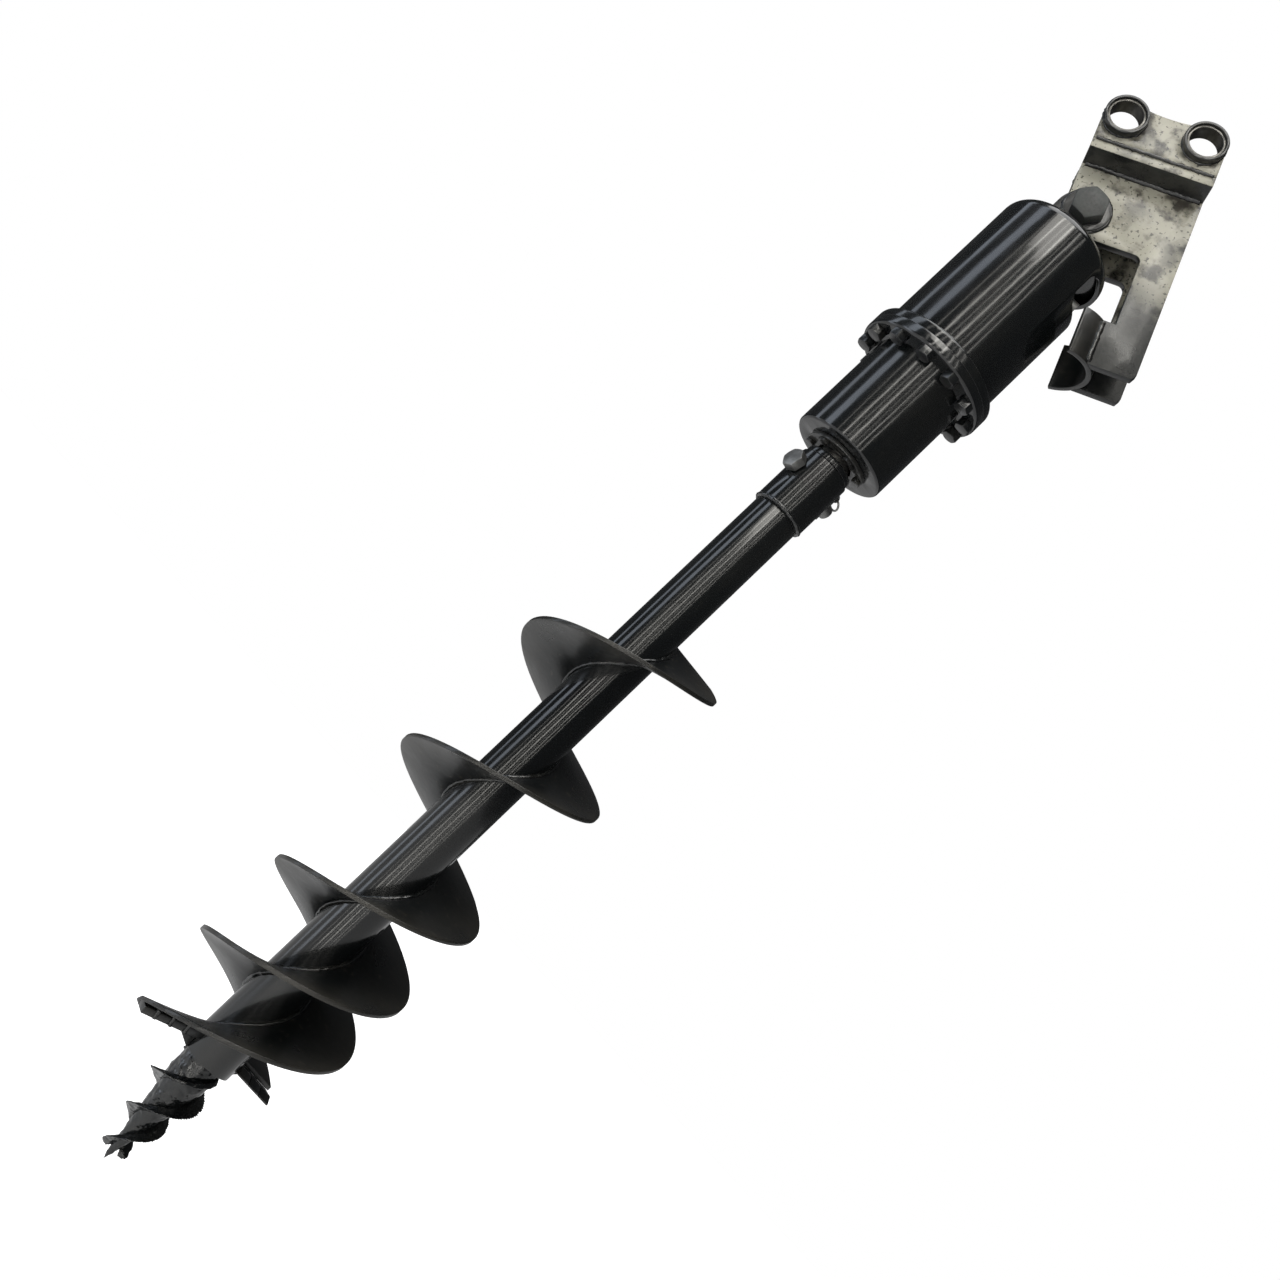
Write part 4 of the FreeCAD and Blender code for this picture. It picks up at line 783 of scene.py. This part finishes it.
class AUGER_OT_hitch_welds(bpy.types.Operator):
    """Lay the weld beads of the hitch"""

    bl_idname = "auger.hitch_welds"
    bl_label = "Hitch welds"

    def execute(self, context):
        sizes = context.scene.hitch_sizes
        thick = context.scene.auger_welds.plate_bead
        ends = (sizes.left + END_GAP, sizes.right - END_GAP)
        deck_top = sizes.deck_bottom + sizes.deck
        for side, word in ((-1, "front"), (1, "rear")):
            inner = side * sizes.ear_inner
            self.run(word + "_ear_inner_weld", ends, inner, deck_top, thick)
            outer = side * (sizes.ear_outer + SEAM_OFFSET)
            self.run(word + "_ear_seam_weld", ends, outer, deck_top, SEAM_SHARE * thick)
            plate = side * sizes.plate_outer
            self.run(word + "_plate_weld", ends, plate, sizes.deck_bottom, thick)
            self.leg(word, plate, thick)
            pad = (0.0, plate, 0.0)
            name = word + "_pad_weld"
            round_pad = sizes.pad_radius, PAD_SHARE * thick
            ring_bead(name, *round_pad, pad, "hitch", HITCH_PLACE, across=True)
            for pin in (0.0, PIN_LINE.length):
                boss = (pin, side * sizes.ear_outer, sizes.boss_height)
                name = word + ("_link" if pin else "_arm") + "_boss_weld"
                round_boss = sizes.boss_radius, BOSS_SHARE * thick
                ring_bead(name, *round_boss, boss, "hitch", HITCH_PLACE, across=True)
        return {"FINISHED"}

    def run(self, name, ends, y, z, thick):
        """One bead along the hitch."""
        start = (ends[0], y, z)
        straight_bead(name, start, (ends[1], y, z), thick, "hitch", HITCH_PLACE)

    def leg(self, word, y, thick):
        """The bead between one leg and the hood rest."""
        sizes = bpy.context.scene.hitch_sizes
        away = math.sqrt(sizes.rest_radius ** 2 - y ** 2)
        x = sizes.rest_axis + away
        top = sizes.leg_end + sizes.rest_length
        start = (x, y, sizes.leg_end + END_GAP)
        straight_bead(word + "_leg_weld", start, (x, y, top - END_GAP), thick, "hitch", HITCH_PLACE)


class AUGER_OT_drive(bpy.types.Operator):
    """Finish the hood, the gear case and what hangs on them"""

    bl_idname = "auger.drive"
    bl_label = "Drive"

    def execute(self, context):
        welds = context.scene.auger_welds
        soft = welds.edge_round
        for node in ("hood", "gear_case", "hood_flange"):
            finished_copy(node, "hood_enamel", soft, flats=False)
        for node in ("pivot_lug", "flange_bolts", "seal_retainer"):
            finished_copy(node, "fitting_enamel", 0.6 * soft)
        finished_copy("retainer_bolts", "fitting_enamel", 0.4 * soft)
        finished_copy("port_adapters", "zinc_plate", 0.4 * soft)
        for node in ("port_block", "motor_housing", "motor_cover"):
            finished_copy(node, "sand_casting", soft)
        hood_low, hood_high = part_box("hood")
        lug_low, lug_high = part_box("pivot_lug")
        radius = box_size("hood").y / 2
        base = (0.0, 0.0, hood_low.z - PIVOT.z)
        ring_bead("hood_foot_weld", radius, welds.plate_bead, base, "drive", DRIVE_PLACE)
        z = hood_high.z
        corners = [
            (lug_low.x, lug_low.y, z), (lug_high.x, lug_low.y, z),
            (lug_high.x, lug_high.y, z), (lug_low.x, lug_high.y, z),
        ]
        for i in range(4):
            name = "lug_weld_%d" % (i + 1)
            ends = corners[i], corners[(i + 1) % 4]
            straight_bead(name, *ends, welds.plate_bead, "drive", Matrix())
        return {"FINISHED"}


class AUGER_OT_auger(bpy.types.Operator):
    """Finish the hub, tube, flights and hub pin"""

    bl_idname = "auger.auger"
    bl_label = "Auger"

    def execute(self, context):
        welds = context.scene.auger_welds
        soft = welds.edge_round
        for node in ("auger_tube", "auger_hub", "dust_ring"):
            finished_copy(node, "tube_enamel", soft)
        for node in ("main_flight", "second_flight"):
            finished_copy(node, "flight_enamel", soft, flats=False)
        for node in ("hub_pin", "linch_pin", "linch_ring"):
            finished_copy(node, "zinc_plate", 0.3 * soft)
        low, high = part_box("auger_tube")
        joint = (0.0, 0.0, high.z - PIVOT.z)
        radius = box_size("auger_tube").x / 2
        ring_bead("hub_weld", radius + 0.001, welds.hub_bead, joint, "auger", DRIVE_PLACE)
        screw = context.scene.auger_screw
        runs = (
            ("main", screw.main_start, screw.main_lift, screw.main_turns),
            ("second", screw.second_start, screw.second_lift, screw.second_turns),
        )
        for word, start, lift, turns in runs:
            under = low.z + lift
            over = under + screw.thickness
            bead = welds.flight_bead
            screw_bead(word + "_under_weld", start, under, turns, radius, bead)
            screw_bead(word + "_over_weld", start, over, turns, radius, bead)
        return {"FINISHED"}


class AUGER_OT_cutting_head(bpy.types.Operator):
    """Finish the cutter bars, their teeth and the pilot"""

    bl_idname = "auger.cutting_head"
    bl_label = "Cutting head"

    def execute(self, context):
        soft = context.scene.auger_welds.edge_round
        for node in ("main_cutter_bar", "second_cutter_bar", "cutter_gussets"):
            finished_copy(node, "fitting_enamel", soft)
        for node in ("main_teeth", "second_teeth"):
            finished_copy(node, "fitting_enamel", 0.6 * soft)
        finished_copy("pilot_socket", "fitting_enamel", soft)
        self.cast(finished_copy("pilot_core", "pilot_enamel", 0.0, flats=False))
        self.pilot_screw(context.scene.pilot_screw)
        self.seat_welds(context)
        return {"FINISHED"}

    def pilot_screw(self, sizes):
        """The two starts, wound straight, widened up the cone and trimmed at the collar."""
        rim, root = sizes.low_radius, sizes.root_radius
        bpy.ops.object.select_all(action="DESELECT")
        bpy.ops.mesh.primitive_circle_add(
            vertices=4, radius=1.0, fill_type="NOTHING", rotation=(math.pi / 2, 0.0, 0.0),
        )
        screw = bpy.context.active_object
        screw.name = "pilot_screw"
        screw.scale = ((rim - root) / 2, sizes.thickness / 2, 1.0)
        screw.location = ((rim + root) / 2, 0.0, 0.0)
        settle(screw)
        wind(screw, sizes.turns, sizes.lead * sizes.turns, int(72 * sizes.turns))
        only(screw)
        bpy.ops.object.mode_set(mode="EDIT")
        bpy.ops.mesh.select_all(action="SELECT")
        close_ends()
        bpy.ops.mesh.duplicate()
        bpy.ops.transform.rotate(
            value=math.pi, orient_axis="Z", center_override=(0.0, 0.0, 0.0),
        )
        bpy.ops.object.mode_set(mode="OBJECT")
        widen = screw.modifiers.new("widen", "SIMPLE_DEFORM")
        widen.deform_method = "TAPER"
        widen.deform_axis = "Z"
        widen.factor = sizes.widening / rim * screw.dimensions.z
        apply_modifiers(screw)
        self.trim(screw)
        turn = Matrix.Rotation(sizes.start, 4, "Z")
        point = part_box("pilot_core")[0].z
        foot = Matrix.Translation((PIVOT.x, 0.0, point + sizes.cone))
        settle(screw, foot @ turn)
        self.cast(screw)
        hand_over(screw, "auger", "pilot_enamel")
        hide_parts("pilot_flight")

    def trim(self, screw):
        """Run the starts out towards the pilot's collar."""
        bpy.ops.object.select_all(action="DESELECT")
        bpy.ops.mesh.primitive_cone_add(
            vertices=96,
            radius1=RUN_OUT_WIDE,
            radius2=RUN_OUT_NARROW,
            depth=RUN_OUT_TOP - RUN_OUT_FOOT,
            location=(0.0, 0.0, (RUN_OUT_TOP + RUN_OUT_FOOT) / 2),
        )
        envelope = bpy.context.active_object
        cut = screw.modifiers.new("run_out", "BOOLEAN")
        cut.operation = "INTERSECT"
        cut.object = envelope
        apply_modifiers(screw)
        bpy.data.objects.remove(envelope)

    def seat_welds(self, context):
        """Short beads across the back of each bar, between its teeth."""
        screw = context.scene.auger_screw
        thick = context.scene.auger_welds.seat_bead
        tube_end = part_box("auger_tube")[0].z
        tube = box_size("auger_tube").x / 2
        rim = box_size("main_flight").y / 2
        slope = math.atan2(screw.droop, rim - tube)
        for word, start, lift in (
            ("main", screw.main_start, screw.main_lift),
            ("second", screw.second_start, screw.second_lift),
        ):
            foot = Matrix.Translation((PIVOT.x, 0.0, tube_end + lift))
            turn = Matrix.Rotation(start, 4, "Z")
            away = Matrix.Translation((tube, 0.0, 0.0)) @ Matrix.Rotation(slope, 4, "Y")
            place = foot @ turn @ away
            for i in range(1, TOOTH_SEATS):
                x = i * (rim - tube) / TOOTH_SEATS
                name = "%s_seat_weld_%d" % (word, i)
                ends = (x, SEAT_BACK, SEAT_LOW), (x, SEAT_BACK, SEAT_HIGH)
                straight_bead(name, *ends, thick, "auger", place)

    def cast(self, piece):
        """Give a piece the lumps of a rough casting under thick paint."""
        skin = piece.modifiers.new("skin", "REMESH")
        skin.mode = "VOXEL"
        skin.voxel_size = CAST_VOXEL
        apply_modifiers(piece)
        lumpy(piece, CAST_LUMPS, CAST_GRAIN)
        only(piece)
        bpy.ops.object.shade_smooth()


# ---------------------------------------------------------------- studio


def direction(azimuth, elevation):
    """Unit vector from the middle of the view towards a camera or a light."""
    level = math.cos(elevation)
    return Vector((level * math.cos(azimuth), level * math.sin(azimuth), math.sin(elevation)))


def studio_light(name, azimuth, elevation, distance, size, radiance, colour):
    """A panel of light that faces the middle of the view."""
    studio = bpy.context.scene.auger_studio
    light = bpy.data.lights.new(name, "AREA")
    light.shape = "RECTANGLE"
    light.size, light.size_y = size
    light.energy = radiance * math.pi * size[0] * size[1]
    light.color = colour
    lamp = bpy.data.objects.new(name, light)
    bpy.context.scene.collection.objects.link(lamp)
    away = direction(math.radians(azimuth), math.radians(elevation))
    lamp.location = Vector(studio.target) + away * distance
    lamp.rotation_mode = "QUATERNION"
    lamp.rotation_quaternion = away.to_track_quat("Z", "Y")
    lamp.visible_camera = False
    return lamp


def backdrop():
    """White round the object, and a dim room in its reflections."""
    world = bpy.data.worlds.new("studio")
    bpy.context.scene.world = world
    world.use_nodes = True
    tree = world.node_tree
    tree.nodes.clear()
    output = tree.nodes.new("ShaderNodeOutputWorld")
    mix = tree.nodes.new("ShaderNodeMixShader")
    path = tree.nodes.new("ShaderNodeLightPath")
    white = tree.nodes.new("ShaderNodeBackground")
    white.inputs["Color"].default_value = (1.0, 1.0, 1.0, 1.0)
    white.inputs["Strength"].default_value = 1.0
    room = tree.nodes.new("ShaderNodeBackground")
    room.inputs["Color"].default_value = (0.95, 0.97, 1.0, 1.0)
    room.inputs["Strength"].default_value = 0.05
    tree.links.new(path.outputs["Is Camera Ray"], mix.inputs["Fac"])
    tree.links.new(room.outputs["Background"], mix.inputs[1])
    tree.links.new(white.outputs["Background"], mix.inputs[2])
    tree.links.new(mix.outputs["Shader"], output.inputs["Surface"])


class AUGER_OT_studio(bpy.types.Operator):
    """Set up the floor, the lights and the camera"""

    bl_idname = "auger.studio"
    bl_label = "Studio"

    def execute(self, context):
        studio = context.scene.auger_studio
        self.floor(studio)
        backdrop()
        context.scene.view_settings.view_transform = "Standard"
        self.lights()
        self.camera(studio)
        return {"FINISHED"}

    def floor(self, studio):
        """A floor that is plain white to the camera."""
        bpy.ops.object.select_all(action="DESELECT")
        low = min(corner[2] for corner in CAD_BOX) - studio.floor_drop
        bpy.ops.mesh.primitive_plane_add(size=FLOOR_SIZE, location=(0.0, 0.0, low))
        floor = bpy.context.active_object
        floor.name = "studio_floor"
        material, tree, shader, place = new_material("floor_white")
        mottle = ramp(tree, noise(tree, place, 2.0, 2.0), 0.3, 0.7, 0.0, 1.0)
        colour = mix_colours(tree, mottle, (0.90, 0.90, 0.90), (0.93, 0.93, 0.93))
        tree.links.new(colour, shader.inputs["Base Color"])
        shader.inputs["Roughness"].default_value = 0.9
        path = tree.nodes.new("ShaderNodeLightPath")
        shader.inputs["Emission Color"].default_value = (1.0, 1.0, 1.0, 1.0)
        tree.links.new(path.outputs["Is Camera Ray"], shader.inputs["Emission Strength"])
        floor.data.materials.append(material)

    def lights(self):
        """A soft light on the plates, strips for the long streaks and a sun."""
        warm = (1.0, 0.98, 0.92)
        cool = (0.80, 0.88, 1.0)
        studio_light("plate_light", -100.0, 47.0, 3.2, (1.5, 1.0), 4.0, warm)
        strips = (
            (-122.0, 0.10, 2.5), (-106.0, 0.16, 6.0), (-95.0, 0.07, 4.0), (-85.0, 0.14, 7.0),
            (-75.0, 0.05, 4.0), (-66.0, 0.09, 6.0), (-55.0, 0.07, 5.0),
        )
        for i, (azimuth, width, radiance) in enumerate(strips):
            name = "strip_%d" % (i + 1)
            size = (width, STRIP_LENGTH)
            studio_light(name, azimuth, STRIP_RISE, STRIP_REACH, size, radiance, warm)
        studio_light("side_light", -146.0, STRIP_RISE, STRIP_REACH, (0.65, STRIP_LENGTH), 2.2, cool)
        studio_light("edge_light", -178.0, STRIP_RISE, 3.2, (0.5, STRIP_LENGTH), 1.6, cool)
        sun = bpy.data.lights.new("key", "SUN")
        sun.energy = 1.6
        sun.angle = math.radians(50)
        lamp = bpy.data.objects.new("key", sun)
        bpy.context.scene.collection.objects.link(lamp)
        lamp.rotation_euler = (math.radians(18), math.radians(-12), 0.0)

    def camera(self, studio):
        """A camera turned about its view, as the settings say."""
        data = bpy.data.cameras.new("camera")
        data.lens = studio.lens
        data.sensor_width = 36.0
        camera = bpy.data.objects.new("camera", data)
        bpy.context.scene.collection.objects.link(camera)
        away = direction(studio.azimuth, studio.elevation)
        ahead = -away
        level = ahead.cross(Vector((0.0, 0.0, 1.0))).normalized()
        upright = level.cross(ahead)
        top = upright * math.cos(studio.roll) + level * math.sin(studio.roll)
        right = ahead.cross(top)
        turn = Matrix((right, top, away)).transposed()
        place = Vector(studio.target) + away * studio.distance
        camera.matrix_world = Matrix.Translation(place) @ turn.to_4x4()
        bpy.context.scene.camera = camera


# ---------------------------------------------------------------- panel


STEPS = (
    AUGER_OT_finishes,
    AUGER_OT_hitch,
    AUGER_OT_hitch_welds,
    AUGER_OT_drive,
    AUGER_OT_auger,
    AUGER_OT_cutting_head,
    AUGER_OT_studio,
)


class AUGER_PT_panel(bpy.types.Panel):
    """Lists the steps in the sidebar"""

    bl_idname = "AUGER_PT_panel"
    bl_label = "Earth auger drive"
    bl_space_type = "VIEW_3D"
    bl_region_type = "UI"
    bl_category = "Auger"

    def draw(self, context):
        for step in STEPS:
            self.layout.operator(step.bl_idname)


SETTINGS = {
    "auger_paint": AugerPaint,
    "auger_welds": AugerWelds,
    "hitch_sizes": HitchSizes,
    "auger_screw": AugerScrew,
    "pilot_screw": PilotScrew,
    "auger_studio": AugerStudio,
}


def register():
    for name, group in SETTINGS.items():
        bpy.utils.register_class(group)
        setattr(bpy.types.Scene, name, bpy.props.PointerProperty(type=group))
    for step in STEPS:
        bpy.utils.register_class(step)
    bpy.utils.register_class(AUGER_PT_panel)


def unregister():
    bpy.utils.unregister_class(AUGER_PT_panel)
    for step in reversed(STEPS):
        bpy.utils.unregister_class(step)
    for name, group in SETTINGS.items():
        delattr(bpy.types.Scene, name)
        bpy.utils.unregister_class(group)


def main():
    register()
    for step in STEPS:
        group, name = step.bl_idname.split(".")
        getattr(getattr(bpy.ops, group), name)()


if __name__ == "__main__":
    main()
